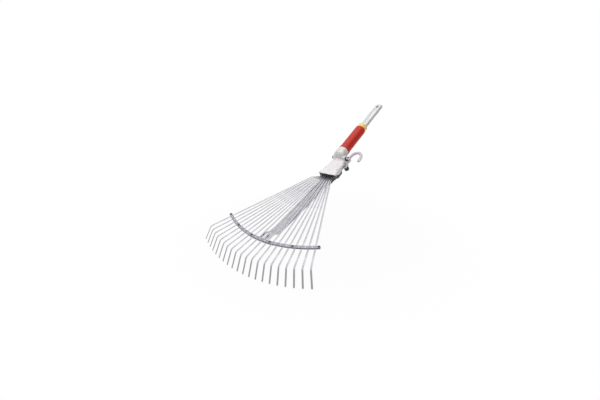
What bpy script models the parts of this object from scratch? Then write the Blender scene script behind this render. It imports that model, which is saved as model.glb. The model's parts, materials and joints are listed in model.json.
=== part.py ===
"""Adjustable fan rake head with a quick-change plug, as separate parts.

The fan is drawn in its own frame: x to the right, y towards the handle and z
square to the tines, with the fan's apex at the origin. The neck's frame leans
back from it by NECK_TILT. Both hang on empties, so that the finished head
stands in its raking attitude with the end of the plug at the world's origin.
All lengths are metres.
"""
import math

import bmesh
import bpy
from mathutils import Matrix, Vector

for old_object in list(bpy.data.objects):
    bpy.data.objects.remove(old_object, do_unlink=True)

# Attitude of the head
FAN_SLOPE = math.radians(23.3)
NECK_TILT = math.radians(8.0)
NECK_HEIGHT = 0.012

# Fits
GAP = 0.0003
RUNNING_GAP = 0.0004
SHARP_EDGE = math.radians(35.0)

# Tines
TINE_COUNT = 20
FAN_HALF_ANGLE = math.radians(26.2)
TINE_REACH = 0.4035
TINE_TIP = 0.048
TIP_BEND = math.radians(47.0)
TIP_BEND_RADIUS = 0.012
TINE_WIDTH = 0.0050
TINE_ROOT_WIDTH = 0.0029
TINE_THICKNESS = 0.0011
HOOK_WIDTH = 0.0017
HOOK_DEPTH = 0.0036
HOOK_BEND_RADIUS = 0.0014
ROOT_SIDE_GAP = 0.0005
ROOT_ROW = 0.044
ROOT_DIP = 0.012
DIP_FROM_MOUTH = 0.0005
DIP_LENGTH = 0.036

# Travel of the spreader along the fan's middle
TRAVEL_OUT = 0.045
TRAVEL_IN = 0.050

# Black holder of the tine roots
HOLDER_MOUTH = 0.058
MOUTH_BOW = 0.005
HOLDER_REAR = 0.008
HOLDER_PLATE = 0.0045
HOLDER_ROOF = 0.0100
HOLDER_SIDE_WALL = 0.0075
SEPARATOR_SHEET = 0.0008

# Strut, its guide and its foot
STRUT_HALF_WIDTH = 0.0190
STRUT_END_HALF_WIDTH = 0.0170
STRUT_SHEET = 0.0018
STRUT_REAR = 0.061
STRUT_SLOPE_LENGTH = 0.020
STRUT_RIB_START = 0.138
STRUT_RIB_RAMP = 0.012
STRUT_RIB_HEIGHT = 0.0030
STRUT_RIB_HALF_WIDTH = 0.0055
STRUT_FLANGE_DROP = 0.0040
GUIDE_SHEET = 0.0040
GUIDE_RAIL = 0.0035
GUIDE_SHOULDER = 0.036
GUIDE_NOSE = 0.080
GUIDE_NOSE_CORNER = 0.0040
FOOT_HALF_ANGLE = math.radians(7.4)
FOOT_SHEET = 0.0018
FOOT_TONGUE_HALF_WIDTH = 0.0150
FOOT_TONGUE_TAPER = 0.0020
FOOT_ROOT_FLARE = 0.010
FOOT_ROOT_RISE = 0.006
FOOT_RIVET_SETBACK = 0.008
FOOT_SETBACK = 0.030
FOOT_OVERLAP = 0.014

# Spreader
SPREADER_FROM_BEND = 0.0675
SPREADER_STRIP = 0.0090
SPREADER_SHEET = 0.0015
SPREADER_OVERHANG = math.radians(1.9)
WINDOW_CLEARANCE = 0.0005
POST_RADIUS = 0.0023
DOME_RADIUS = 0.0027
DOME_HEIGHT = 0.0009
RIVET_EVERY = 4

# Fasteners
RIVET_RADIUS = 0.0016
RIVET_HEAD_RADIUS = 0.0032
RIVET_HEAD_HEIGHT = 0.0014
STACK_BOLT_RADIUS = 0.0025
STACK_HEAD_RADIUS = 0.0046
STACK_HEAD_HEIGHT = 0.0022
STACK_NUT_RADIUS = 0.0046
STACK_NUT_HEIGHT = 0.0040
STACK_BOLT_STAND = 0.0012
CROSS_BOLT_RADIUS = 0.0030
CROSS_HEAD_RADIUS = 0.0060
CROSS_HEAD_HEIGHT = 0.0042
WASHER_RADIUS = 0.0068
WASHER_SHEET = 0.0012

# Hood
HOOD_SHEET = 0.0012
HOOD_SHOULDER = 0.0030
HOOD_MOUTH_RIDGE = 0.0030
HOOD_REAR_HALF_WIDTH = 0.0240
HOOD_REAR_EDGE = 0.0055
HOOD_REAR_RIDGE = 0.0128
HOOD_REAR_FLANGE = 0.0050
HOOD_EAR_DROP = 0.0165
HOOD_MOUTH_FLANGE = 0.0034

# Neck, with h along its axis from the apex
JAW_FRONT = 0.021
JAW_REAR = 0.0350
JAW_SHEET = 0.0048
JAW_LIP = 0.0040
JAW_SLIT = 0.0016
JAW_CHAMFER = 0.0030
BOLT_ROW = 0.0290
BOLT_HEIGHT = 0.0080
FOOT_PLATE_SHEET = 0.0030
FOOT_PLATE_HALF_WIDTH = 0.0090
FOOT_PLATE_MARGIN = 0.0055
COLLAR_FRONT = 0.0222
COLLAR_RADIUS = 0.0205
COLLAR_NOSE_RADIUS = 0.0150
COLLAR_NOSE = 0.0060
COLLAR_TAIL = 0.0100
COLLAR_TAPER = 0.0015
SLEEVE_FRONT = 0.057
SLEEVE_REAR = 0.175
SLEEVE_RADIUS = 0.0196
SLEEVE_WAIST_RADIUS = 0.0184
SLEEVE_RIM = 0.0012
SPIGOT_RADIUS = 0.0145
SPIGOT_END = 0.115
RING_LENGTH = 0.0160
RING_RADIUS = 0.0165
SHANK_HALF_WIDTH = 0.0100
SHANK_HALF_HEIGHT = 0.0055
SHANK_FRONT = 0.076
SHANK_PIN_RADIUS = 0.0025
SHANK_PIN_PLACE = 0.096
TONGUE_END = 0.320
TONGUE_HALF_WIDTH = 0.0120
TONGUE_HALF_HEIGHT = 0.0070
TONGUE_CORNER = 0.0030
TONGUE_NOSE = 0.0040
TONGUE_GROOVE_DEPTH = 0.0016
TONGUE_GROOVE_HALF_WIDTH = 0.0040

# Cutting shapes reach past what they cut, and joined shapes start just inside
OVERCUT = 0.002
BURIED = 0.00002

# Snap stud
STUD_RADIUS = 0.0042
STUD_FLANGE_RADIUS = 0.0052
STUD_COVER = 0.0010
STUD_FLANGE_SHEET = 0.0012
STUD_STAND = 0.0034
STUD_TRAVEL = 0.0030
STUD_FROM_END = 0.016
SPRING_SHORTEST = 0.0053
SPRING_WIRE_RADIUS = 0.00035
SPRING_TURNS = 4

# Cam lever
LEVER_HEAD_RADIUS = 0.0072
LEVER_THICKNESS = 0.0080
LEVER_EAR = 0.0035
LEVER_WEB_RADIUS = 0.0045
LEVER_PIN_RADIUS = 0.0020
LEVER_PIN_HEAD = 0.0010
LEVER_ARM_START_HALF_WIDTH = 0.0038
LEVER_ARM_END_HALF_WIDTH = 0.0050
LEVER_REACH = 0.043  # top of the hook from its pin
LEVER_BOW = 0.033    # how far the hook curves out
LEVER_DROOP = 0.007  # how far its end hangs below the pin's middle
THRUST_PAD_SHEET = 0.0020

# Slide knob
KNOB_PLACE = 0.051
KNOB_STEM_RADIUS = 0.0040
KNOB_NECK_RADIUS = 0.0025
KNOB_RADIUS = 0.0086
KNOB_STEM = 0.0190
KNOB_HEIGHT = 0.0170

# Levels and rows that follow from the sizes above
POCKET_DEPTH = STUD_COVER + STUD_FLANGE_SHEET + STUD_TRAVEL + SPRING_SHORTEST
LAYER_OFFSET = SEPARATOR_SHEET / 2 + GAP + TINE_THICKNESS / 2
ROOT_PITCH = (TINE_ROOT_WIDTH + ROOT_SIDE_GAP) / 2
UPPER_PLATE_LOW = -ROOT_DIP + LAYER_OFFSET + TINE_THICKNESS / 2 + GAP
UPPER_PLATE_TOP = UPPER_PLATE_LOW + HOLDER_ROOF
LOWER_PLATE_TOP = -ROOT_DIP - LAYER_OFFSET - TINE_THICKNESS / 2 - GAP
LOWER_PLATE_LOW = LOWER_PLATE_TOP - HOLDER_PLATE
STRUT_TOP = LOWER_PLATE_LOW - GAP
STRUT_LOW = STRUT_TOP - STRUT_SHEET
GUIDE_TOP = STRUT_LOW - GAP
GUIDE_LOW = GUIDE_TOP - GUIDE_SHEET
WINDOW_HALF_HEIGHT = TINE_THICKNESS / 2 + WINDOW_CLEARANCE
LOWER_STRIP_LOW = -WINDOW_HALF_HEIGHT - SPREADER_SHEET
UPPER_STRIP_TOP = WINDOW_HALF_HEIGHT + SPREADER_SHEET
FOOT_TOP = LOWER_STRIP_LOW - GAP
FOOT_LOW = FOOT_TOP - FOOT_SHEET
STRUT_END_TOP = FOOT_LOW - GAP
STACK_ROW = (HOLDER_REAR + ROOT_ROW - HOOK_WIDTH) / 2
FOOT_PLATE_FRONT = STACK_ROW + FOOT_PLATE_MARGIN
SPREADER_RADIUS = ROOT_ROW + TINE_REACH - SPREADER_FROM_BEND
STRUT_SLOPE_END = SPREADER_RADIUS - FOOT_SETBACK
STRUT_SLOPE_START = STRUT_SLOPE_END - STRUT_SLOPE_LENGTH
STRUT_RIB_END = STRUT_SLOPE_START - STRUT_RIB_RAMP
DIP_START = HOLDER_MOUTH + DIP_FROM_MOUTH - ROOT_ROW
DIP_END = DIP_START + DIP_LENGTH
ANGLE_STEP = 2 * FAN_HALF_ANGLE / (TINE_COUNT - 1)
SLOT_HALF_WIDTH = STACK_BOLT_RADIUS + RUNNING_GAP
JAW_INSIDE = STRUT_HALF_WIDTH + RUNNING_GAP
JAW_OUTSIDE = JAW_INSIDE + JAW_SHEET
JAW_LOW = STRUT_LOW - GAP - JAW_LIP
JAW_BRIDGE_LOW = UPPER_PLATE_TOP + GAP


def finish(name, red, green, blue, roughness, metallic=0.0):
    """A plain surface colour for one kind of part."""
    made = bpy.data.materials.new(name)
    made.use_nodes = True
    shader = made.node_tree.nodes["Principled BSDF"]
    shader.inputs["Base Color"].default_value = (red, green, blue, 1.0)
    shader.inputs["Roughness"].default_value = roughness
    shader.inputs["Metallic"].default_value = metallic
    return made


SPRING_STEEL = finish("zinc_plated_spring_steel", 0.62, 0.62, 0.64, 0.35, 0.9)
STEEL_PLATE = finish("zinc_plated_sheet", 0.45, 0.45, 0.49, 0.4, 0.9)
WHITE_SHEET = finish("bright_painted_sheet", 0.86, 0.83, 0.85, 0.4)
CAST_GREY = finish("grey_casting", 0.62, 0.62, 0.61, 0.5, 0.3)
PLUG_METAL = finish("cast_plug", 0.58, 0.58, 0.58, 0.45, 0.6)
RED_PLASTIC = finish("red_moulded_plastic", 0.58, 0.035, 0.022, 0.35)
YELLOW_PLASTIC = finish("yellow_moulded_plastic", 0.90, 0.60, 0.10, 0.4)
BLACK_PLASTIC = finish("black_moulded_plastic", 0.018, 0.024, 0.027, 0.45)
DARK_STEEL = finish("dark_steel", 0.12, 0.11, 0.13, 0.4, 0.8)
LILAC_CASTING = finish("pale_lever_casting", 0.55, 0.50, 0.56, 0.4, 0.5)


def empty_frame(name, parent=None, location=(0.0, 0.0, 0.0), turn_x=0.0):
    """An unseen frame that parts are placed in."""
    frame = bpy.data.objects.new(name, None)
    bpy.context.scene.collection.objects.link(frame)
    frame.parent = parent
    frame.location = location
    frame.rotation_euler = (turn_x, 0.0, 0.0)
    return frame


def place(name, mesh, surface, parent, location=(0.0, 0.0, 0.0), turn=(0.0, 0.0, 0.0)):
    """Puts a mesh in the scene as one named part."""
    made = bpy.data.objects.new(name, mesh)
    bpy.context.scene.collection.objects.link(made)
    if surface is not None and not mesh.materials:
        mesh.materials.append(surface)
    made.parent = parent
    made.location = location
    made.rotation_euler = turn
    return made


def mesh_from(name, bm):
    """Turns a bmesh into a mesh whose faces point out and whose round sides shade smooth."""
    bmesh.ops.recalc_face_normals(bm, faces=bm.faces)
    mesh = bpy.data.meshes.new(name)
    bm.to_mesh(mesh)
    bm.free()
    mesh.shade_smooth()
    mesh.set_sharp_from_angle(angle=SHARP_EDGE)
    return mesh


def boolean(target, tool, operation):
    """Joins a tool shape to a part, or cuts it away."""
    tool.hide_render = True
    tool.display_type = "WIRE"
    step = target.modifiers.new(tool.name, "BOOLEAN")
    step.operation = operation
    step.solver = "EXACT"
    step.object = tool
    return target


def circle(radius, sides, x=0.0, y=0.0, start=0.0):
    """The corners of a regular polygon, counterclockwise."""
    step = 2 * math.pi / sides
    return [(x + radius * math.cos(start + k * step), y + radius * math.sin(start + k * step))
            for k in range(sides)]


def fill_level(bm, loops, z):
    """Fills the flat region between an outline and the loops inside it."""
    rings = []
    edges = []
    for loop in loops:
        ring = [bm.verts.new((x, y, z)) for x, y in loop]
        rings.append(ring)
        edges += [bm.edges.new((ring[k - 1], ring[k])) for k in range(len(ring))]
    bmesh.ops.triangle_fill(bm, use_beauty=True, use_dissolve=False, edges=edges)
    return rings


def wall(bm, low_ring, high_ring):
    """Side faces between two rings of equal count."""
    for k in range(len(low_ring)):
        bm.faces.new((low_ring[k - 1], low_ring[k], high_ring[k], high_ring[k - 1]))


def plate(outline, low, high, holes=(), bosses=()):
    """A flat plate with through holes and with bosses, each a loop and its top, standing on it."""
    bm = bmesh.new()
    boss_loops = [loop for loop, top in bosses]
    low_rings = fill_level(bm, [outline, *holes], low)
    high_rings = fill_level(bm, [outline, *holes, *boss_loops], high)
    for low_ring, high_ring in zip(low_rings, high_rings):
        wall(bm, low_ring, high_ring)
    for ring, (loop, top) in zip(high_rings[len(low_rings):], bosses):
        cap = [bm.verts.new((x, y, top)) for x, y in loop]
        wall(bm, ring, cap)
        bm.faces.new(cap)
    return bm


def loft(sections):
    """A closed solid through rings of points of equal count."""
    bm = bmesh.new()
    rings = [[bm.verts.new(point) for point in section] for section in sections]
    for first, second in zip(rings, rings[1:]):
        wall(bm, first, second)
    bm.faces.new(rings[0])
    bm.faces.new(rings[-1])
    return bm


def lathe(profile, sides, axis="Y"):
    """A turned solid. The profile's (radius, place) points run once round its half section."""
    bm = bmesh.new()
    rings = []
    for radius, along in profile:
        if radius == 0.0:
            corners = [(0.0, 0.0)]
        else:
            corners = circle(radius, sides)
        if axis == "Y":
            ring = [bm.verts.new((x, along, y)) for x, y in corners]
        elif axis == "Z":
            ring = [bm.verts.new((x, y, along)) for x, y in corners]
        else:
            ring = [bm.verts.new((along, x, y)) for x, y in corners]
        rings.append(ring)
    solid_core = len(rings[0]) == 1
    pairs = list(zip(rings, rings[1:]))
    if not solid_core:
        pairs.append((rings[-1], rings[0]))
    for first, second in pairs:
        if len(first) == 1:
            for k in range(sides):
                bm.faces.new((first[0], second[k - 1], second[k]))
        elif len(second) == 1:
            for k in range(sides):
                bm.faces.new((first[k - 1], first[k], second[0]))
        else:
            wall(bm, first, second)
    return bm


def round_pin(radius, half_length, axis, sides=12):
    """A plain round pin, also for cutting a hole, centred on its own frame."""
    return lathe([(0.0, -half_length), (radius, -half_length), (radius, half_length), (0.0, half_length)],
                 sides, axis)


def ease(value):
    """A smooth step from 0 to 1."""
    value = min(1.0, max(0.0, value))
    return value * value * (3.0 - 2.0 * value)


def strip_along(path, half_widths, thickness):
    """A flat strip whose middle follows (y, z) points, square to x."""
    points = [Vector(point) for point in path]
    sections = []
    for k, point in enumerate(points):
        before = (point - points[k - 1]).normalized() if k else None
        after = (points[k + 1] - point).normalized() if k < len(points) - 1 else None
        along = (before or after) if before is None or after is None else (before + after).normalized()
        stretch = 1.0 if before is None or after is None else 1.0 / max(0.5, along.dot(after))
        across = Vector((-along.y, along.x)) * (thickness / 2 * stretch)
        high = point + across
        low = point - across
        half = half_widths[k]
        sections.append([(-half, low.x, low.y), (half, low.x, low.y),
                         (half, high.x, high.y), (-half, high.x, high.y)])
    return loft(sections)


def window_angle(index):
    """Angle of a tine's window on the spreader, seen from the fan's apex."""
    return -FAN_HALF_ANGLE + index * ANGLE_STEP


def tine_root(index):
    """Place of a tine's hook in the holder."""
    return ((index - (TINE_COUNT - 1) / 2) * ROOT_PITCH, -ROOT_ROW)


def tine_angle(index, travel=0.0):
    """A tine's angle from the fan's middle when the spreader has moved out by travel."""
    root_x, root_y = tine_root(index)
    across = SPREADER_RADIUS * math.sin(window_angle(index)) - root_x
    along = SPREADER_RADIUS * math.cos(window_angle(index)) + travel + root_y
    return math.atan2(across, along)


def tine_profile(layer):
    """Side view and half widths of a tine; layer is 1 above the separator and -1 below it."""
    offset = layer * LAYER_OFFSET
    middle = SPREADER_RADIUS - ROOT_ROW
    spread = (SPREADER_RADIUS * ANGLE_STEP - ROOT_PITCH) / (middle + TRAVEL_OUT)
    clear_of_next = (TINE_WIDTH + ROOT_SIDE_GAP - ROOT_PITCH) / spread
    clear_of_next = max(clear_of_next, DIP_END + TINE_WIDTH)
    merge_end = clear_of_next + 10 * TINE_WIDTH

    def level(along):
        dip = ROOT_DIP * (1.0 - ease((along - DIP_START) / (DIP_END - DIP_START)))
        lift = 1.0 - ease((along - clear_of_next) / (merge_end - clear_of_next))
        return -dip + offset * lift

    root_level = level(0.0)
    path = [(0.0, root_level + layer * HOOK_DEPTH)]
    widths = [HOOK_WIDTH / 2]
    for step in range(4):
        turn = step / 3 * math.pi / 2
        path.append((-HOOK_BEND_RADIUS * (1.0 - math.cos(turn)),
                     root_level + layer * HOOK_BEND_RADIUS * (1.0 - math.sin(turn))))
        widths.append(HOOK_WIDTH / 2)
    shoulder = HOOK_BEND_RADIUS + (TINE_ROOT_WIDTH - HOOK_WIDTH) / 2
    path.append((-shoulder, root_level))
    widths.append(TINE_ROOT_WIDTH / 2)
    bend_start = TINE_REACH - TIP_BEND_RADIUS * math.tan(TIP_BEND / 2)
    stations = [DIP_START + DIP_LENGTH * step / 6 for step in range(7)]
    stations += [clear_of_next + (merge_end - clear_of_next) * step / 3 for step in range(4)]
    for along in stations:
        path.append((-along, level(along)))
        widths.append((TINE_ROOT_WIDTH + (TINE_WIDTH - TINE_ROOT_WIDTH) * ease(along / clear_of_next)) / 2)
    bend_steps = 5
    for step in range(bend_steps + 1):
        turn = TIP_BEND * step / bend_steps
        path.append((-bend_start - TIP_BEND_RADIUS * math.sin(turn),
                     -TIP_BEND_RADIUS * (1.0 - math.cos(turn))))
        widths.append(TINE_WIDTH / 2)
    tip_y = -TINE_REACH - TINE_TIP * math.cos(TIP_BEND)
    tip_z = -TINE_TIP * math.sin(TIP_BEND)
    corner = TINE_WIDTH / 4
    path.append((tip_y + corner * math.cos(TIP_BEND), tip_z + corner * math.sin(TIP_BEND)))
    widths.append(TINE_WIDTH / 2)
    path.append((tip_y, tip_z))
    widths.append(TINE_WIDTH / 2 - corner * 0.8)
    return path, widths


def build_tines(fan):
    """Flat spring tines. Odd and even ones lie in two layers at the root."""
    meshes = {}
    for layer, name in ((1, "tine_upper_layer"), (-1, "tine_lower_layer")):
        path, widths = tine_profile(layer)
        meshes[layer] = mesh_from(name, strip_along(path, widths, TINE_THICKNESS))
    for index in range(TINE_COUNT):
        root_x, root_y = tine_root(index)
        layer = 1 if index % 2 == 0 else -1
        place("tine_%02d" % (index + 1), meshes[layer], SPRING_STEEL, fan,
              (root_x, root_y, 0.0), (0.0, 0.0, tine_angle(index)))


def hood_half_width(along):
    """Outer half width of the hood at a distance in front of the apex."""
    corner = mouth_line(1.0)
    mouth = holder_half_width(corner) + GAP + HOOD_SHEET
    share = (along + JAW_FRONT - GAP) / (corner + JAW_FRONT - GAP)
    return HOOD_REAR_HALF_WIDTH + (mouth - HOOD_REAR_HALF_WIDTH) * share


def cavity_half_width(along):
    """Half width that the widest swing of the outer tines needs inside the holder."""
    root_x, root_y = tine_root(TINE_COUNT - 1)
    swing = tine_angle(TINE_COUNT - 1, -TRAVEL_IN)
    side = TINE_ROOT_WIDTH / 2 / math.cos(swing) + RUNNING_GAP
    return root_x + (along + root_y) * math.tan(swing) + side


def holder_half_width(along):
    """Outer half width of the black holder at a distance in front of the apex."""
    corner = mouth_line(1.0)
    mouth = cavity_half_width(corner) + HOLDER_SIDE_WALL
    share = (along + JAW_FRONT) / (corner + JAW_FRONT)
    rear = HOOD_REAR_HALF_WIDTH - HOOD_SHEET - GAP
    return rear + (mouth - rear) * share


def mouth_line(share):
    """How far in front of the apex the mouth's edge lies, from its middle (0) to a corner (1)."""
    return HOLDER_MOUTH - MOUTH_BOW * share * share


def holder_outline():
    """Plan of the holder halves and the separator, counterclockwise."""
    front = holder_half_width(mouth_line(1.0))
    rear = holder_half_width(HOLDER_REAR)
    steps = 8
    shares = [2 * k / steps - 1 for k in range(steps + 1)]
    mouth = [(front * share, -mouth_line(share)) for share in shares]
    return [(-rear, -HOLDER_REAR), *mouth, (rear, -HOLDER_REAR)]


def holder_rivet_place():
    """The two rivets beside the strut, between the strut's edge and the holder's side."""
    guide_edge = JAW_INSIDE
    return (guide_edge + holder_half_width(STACK_ROW)) / 2


def stack_holes(radius_gap=GAP):
    """Holes for the middle bolt and the two rivets."""
    rivet_x = holder_rivet_place()
    return [circle(STACK_BOLT_RADIUS + radius_gap, 12, 0.0, -STACK_ROW),
            circle(RIVET_RADIUS + radius_gap, 8, rivet_x, -STACK_ROW),
            circle(RIVET_RADIUS + radius_gap, 8, -rivet_x, -STACK_ROW)]


def cavity_outline():
    """Plan of the room for the tine roots, open at the mouth."""
    root_x = tine_root(TINE_COUNT - 1)[0]
    rear = ROOT_ROW - HOOK_WIDTH / 2 - RUNNING_GAP
    past = HOLDER_MOUTH + OVERCUT
    side = root_x + TINE_ROOT_WIDTH / 2 + RUNNING_GAP
    corner = ROOT_ROW + HOOK_BEND_RADIUS
    return [(-side, -rear), (-max(side, cavity_half_width(corner)), -corner),
            (-cavity_half_width(past), -past), (cavity_half_width(past), -past),
            (max(side, cavity_half_width(corner)), -corner), (side, -rear)]


def hook_holes(layer):
    """Round sockets in which the hooks of one layer turn."""
    reach = math.hypot(HOOK_WIDTH / 2, TINE_THICKNESS / 2) + RUNNING_GAP
    first = 0 if layer == 1 else 1
    return [circle(reach, 8, *tine_root(index), math.pi / 8) for index in range(first, TINE_COUNT, 2)]


def build_holder(fan):
    """Two moulded halves with a sheet between them that parts the two layers of tines."""
    separator_half = SEPARATOR_SHEET / 2
    upper = place("tine_holder_upper",
                  mesh_from("tine_holder_upper",
                            plate(holder_outline(), -ROOT_DIP + separator_half + GAP, UPPER_PLATE_TOP,
                                  stack_holes())),
                  BLACK_PLASTIC, fan)
    lower = place("tine_holder_lower",
                  mesh_from("tine_holder_lower",
                            plate(holder_outline(), LOWER_PLATE_LOW, -ROOT_DIP - separator_half - GAP,
                                  stack_holes())),
                  BLACK_PLASTIC, fan)
    room_high = plate(cavity_outline(), -ROOT_DIP, UPPER_PLATE_LOW)
    room_low = plate(cavity_outline(), LOWER_PLATE_TOP, -ROOT_DIP)
    boolean(upper, place("cut_room_upper", mesh_from("cut_room_upper", room_high), None, fan), "DIFFERENCE")
    boolean(lower, place("cut_room_lower", mesh_from("cut_room_lower", room_low), None, fan), "DIFFERENCE")
    for target, layer, low, high in ((upper, 1, -ROOT_DIP, UPPER_PLATE_LOW + HOOK_DEPTH),
                                     (lower, -1, LOWER_PLATE_TOP - HOOK_DEPTH, -ROOT_DIP)):
        sockets = bmesh.new()
        for loop in hook_holes(layer):
            low_ring = [sockets.verts.new((x, y, low)) for x, y in loop]
            high_ring = [sockets.verts.new((x, y, high)) for x, y in loop]
            wall(sockets, low_ring, high_ring)
            sockets.faces.new(low_ring)
            sockets.faces.new(high_ring)
        name = "cut_sockets_upper" if layer == 1 else "cut_sockets_lower"
        boolean(target, place(name, mesh_from(name, sockets), None, fan), "DIFFERENCE")
    sheet = plate(holder_outline(), -ROOT_DIP - separator_half, -ROOT_DIP + separator_half, stack_holes())
    place("tine_separator", mesh_from("tine_separator", sheet), STEEL_PLATE, fan)


def build_strut_guide(fan):
    """Black channel that carries the strut under the holder and reaches forward as a tongue."""
    rail_outer = JAW_INSIDE + GUIDE_RAIL
    wide_rear = max(holder_half_width(HOLDER_REAR), rail_outer)
    wide_front = max(holder_half_width(GUIDE_SHOULDER), rail_outer)
    neck_start = GUIDE_SHOULDER + wide_front - rail_outer
    corner = GUIDE_NOSE_CORNER
    right = [(wide_rear, -HOLDER_REAR), (wide_front, -GUIDE_SHOULDER), (rail_outer, -neck_start),
             (rail_outer, -GUIDE_NOSE + corner), (rail_outer - corner, -GUIDE_NOSE)]
    outline = right + [(-x, y) for x, y in reversed(right)]
    guide = place("strut_guide",
                  mesh_from("strut_guide", plate(outline, GUIDE_LOW, LOWER_PLATE_LOW - GAP, stack_holes())),
                  BLACK_PLASTIC, fan)
    channel = [(-JAW_INSIDE, -HOLDER_REAR + OVERCUT), (-JAW_INSIDE, -GUIDE_NOSE - OVERCUT),
               (JAW_INSIDE, -GUIDE_NOSE - OVERCUT), (JAW_INSIDE, -HOLDER_REAR + OVERCUT)]
    cutter = plate(channel, GUIDE_TOP, LOWER_PLATE_LOW + OVERCUT)
    boolean(guide, place("cut_channel", mesh_from("cut_channel", cutter), None, fan), "DIFFERENCE")


def strut_section(along):
    """Cross-section of the strut at a distance in front of the apex, as (x, z) points round it."""
    far = ease((along - STRUT_RIB_START) / (STRUT_SLOPE_END - STRUT_RIB_START))
    half = STRUT_HALF_WIDTH + (STRUT_END_HALF_WIDTH - STRUT_HALF_WIDTH) * far
    risen = ease((along - STRUT_RIB_START) / STRUT_RIB_RAMP)
    ribbed = min(risen, ease((STRUT_RIB_END - along) / STRUT_RIB_RAMP))
    climb = (along - STRUT_SLOPE_START) / (STRUT_SLOPE_END - STRUT_SLOPE_START)
    climb = min(1.0, max(0.0, climb))
    top = STRUT_TOP + (STRUT_END_TOP - STRUT_TOP) * climb
    rib = STRUT_RIB_HEIGHT * ribbed
    drop = STRUT_FLANGE_DROP * ribbed
    shelf = STRUT_RIB_HALF_WIDTH + STRUT_RIB_HEIGHT
    edge = half - STRUT_SHEET
    upper = [(-half, top - drop), (-edge, top), (-shelf, top), (-STRUT_RIB_HALF_WIDTH, top + rib),
             (STRUT_RIB_HALF_WIDTH, top + rib), (shelf, top), (edge, top), (half, top - drop)]
    lower = [(x, z - STRUT_SHEET) for x, z in reversed(upper)]
    return [(x, -along, z) for x, z in upper + lower]


def build_strut(fan):
    """Middle strut: a pressed strap with a long slot, a rib and turned-down edges."""
    ramp = STRUT_RIB_RAMP
    stations = [-STRUT_REAR, 0.0, STRUT_RIB_START, STRUT_RIB_START + ramp / 2, STRUT_RIB_START + ramp,
                (STRUT_RIB_START + STRUT_RIB_END) / 2, STRUT_RIB_END - ramp, STRUT_RIB_END - ramp / 2,
                STRUT_RIB_END, STRUT_SLOPE_START, STRUT_SLOPE_END, foot_inner_edge() + FOOT_OVERLAP]
    strut = place("strut", mesh_from("strut", loft([strut_section(s) for s in stations])), STEEL_PLATE, fan)
    front = STACK_ROW + TRAVEL_IN + RUNNING_GAP
    rear = STACK_ROW - TRAVEL_OUT - RUNNING_GAP
    slot = []
    for middle, start in ((front, math.pi), (rear, 0.0)):
        for step in range(7):
            turn = start + step * math.pi / 6
            slot.append((SLOT_HALF_WIDTH * math.cos(turn), -middle + SLOT_HALF_WIDTH * math.sin(turn)))
    margin = 2 * OVERCUT
    low = STRUT_LOW - margin
    high = STRUT_TOP + margin
    boolean(strut, place("cut_slot", mesh_from("cut_slot", plate(slot, low, high)), None, fan), "DIFFERENCE")
    knob_hole = plate(circle(KNOB_NECK_RADIUS + GAP, 12, 0.0, KNOB_PLACE), low, high)
    boolean(strut, place("cut_knob_hole", mesh_from("cut_knob_hole", knob_hole), None, fan), "DIFFERENCE")
    foot_holes = bmesh.new()
    for x, along in foot_rivet_places():
        loop = circle(RIVET_RADIUS + GAP, 8, x, -along)
        low_ring = [foot_holes.verts.new((px, py, STRUT_END_TOP - STRUT_SHEET - margin)) for px, py in loop]
        high_ring = [foot_holes.verts.new((px, py, STRUT_END_TOP + margin)) for px, py in loop]
        wall(foot_holes, low_ring, high_ring)
        foot_holes.faces.new(low_ring)
        foot_holes.faces.new(high_ring)
    boolean(strut, place("cut_foot_holes", mesh_from("cut_foot_holes", foot_holes), None, fan), "DIFFERENCE")


def foot_inner_edge():
    """Where the foot's tongue begins, in front of the apex."""
    return STRUT_SLOPE_END + STRUT_SHEET


def foot_rivet_places():
    """The two rivets that join the strut to its foot."""
    across = FOOT_TONGUE_HALF_WIDTH * 0.58
    along = foot_inner_edge() + FOOT_RIVET_SETBACK
    return [(-across, along), (across, along)]


def arc_points(radius, half_angle, steps):
    """Points on an arc about the fan's apex, from left to right."""
    return [(radius * math.sin(-half_angle + 2 * half_angle * k / steps),
             -radius * math.cos(-half_angle + 2 * half_angle * k / steps)) for k in range(steps + 1)]


def post_angle(index):
    """Angle of a post between two windows of the spreader; post 0 lies outside the first tine."""
    return window_angle(index) - ANGLE_STEP / 2


def on_arc(angle):
    """A point on the spreader's middle line."""
    return (SPREADER_RADIUS * math.sin(angle), -SPREADER_RADIUS * math.cos(angle))


def riveted_posts():
    """Posts where a real rivet holds the two strips."""
    return list(range(0, TINE_COUNT + 1, RIVET_EVERY))


def build_foot(fan):
    """T-shaped foot that carries the spreader on the strut's end."""
    inner = SPREADER_RADIUS - SPREADER_STRIP / 2
    outer = SPREADER_RADIUS + SPREADER_STRIP / 2
    outline = arc_points(outer, FOOT_HALF_ANGLE, 12)
    root = FOOT_TONGUE_HALF_WIDTH
    tongue_angle = math.asin((root + FOOT_ROOT_FLARE) / inner)
    inner_arc = [point for point in reversed(arc_points(inner, FOOT_HALF_ANGLE, 12))
                 if abs(math.atan2(point[0], -point[1])) > tongue_angle]
    right_side = [point for point in inner_arc if point[0] > 0.0]
    left_side = [point for point in inner_arc if point[0] < 0.0]
    end = root - FOOT_TONGUE_TAPER
    tongue = [(root, -inner + FOOT_ROOT_RISE), (end, -foot_inner_edge()),
              (-end, -foot_inner_edge()), (-root, -inner + FOOT_ROOT_RISE)]
    holes = [circle(RIVET_RADIUS + GAP, 8, x, -along) for x, along in foot_rivet_places()]
    for index in riveted_posts():
        if abs(post_angle(index)) < FOOT_HALF_ANGLE:
            holes.append(circle(RIVET_RADIUS + GAP, 8, *on_arc(post_angle(index))))
    foot = plate(outline + right_side + tongue + left_side, FOOT_LOW, FOOT_TOP, holes)
    place("strut_foot", mesh_from("strut_foot", foot), STEEL_PLATE, fan)


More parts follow.
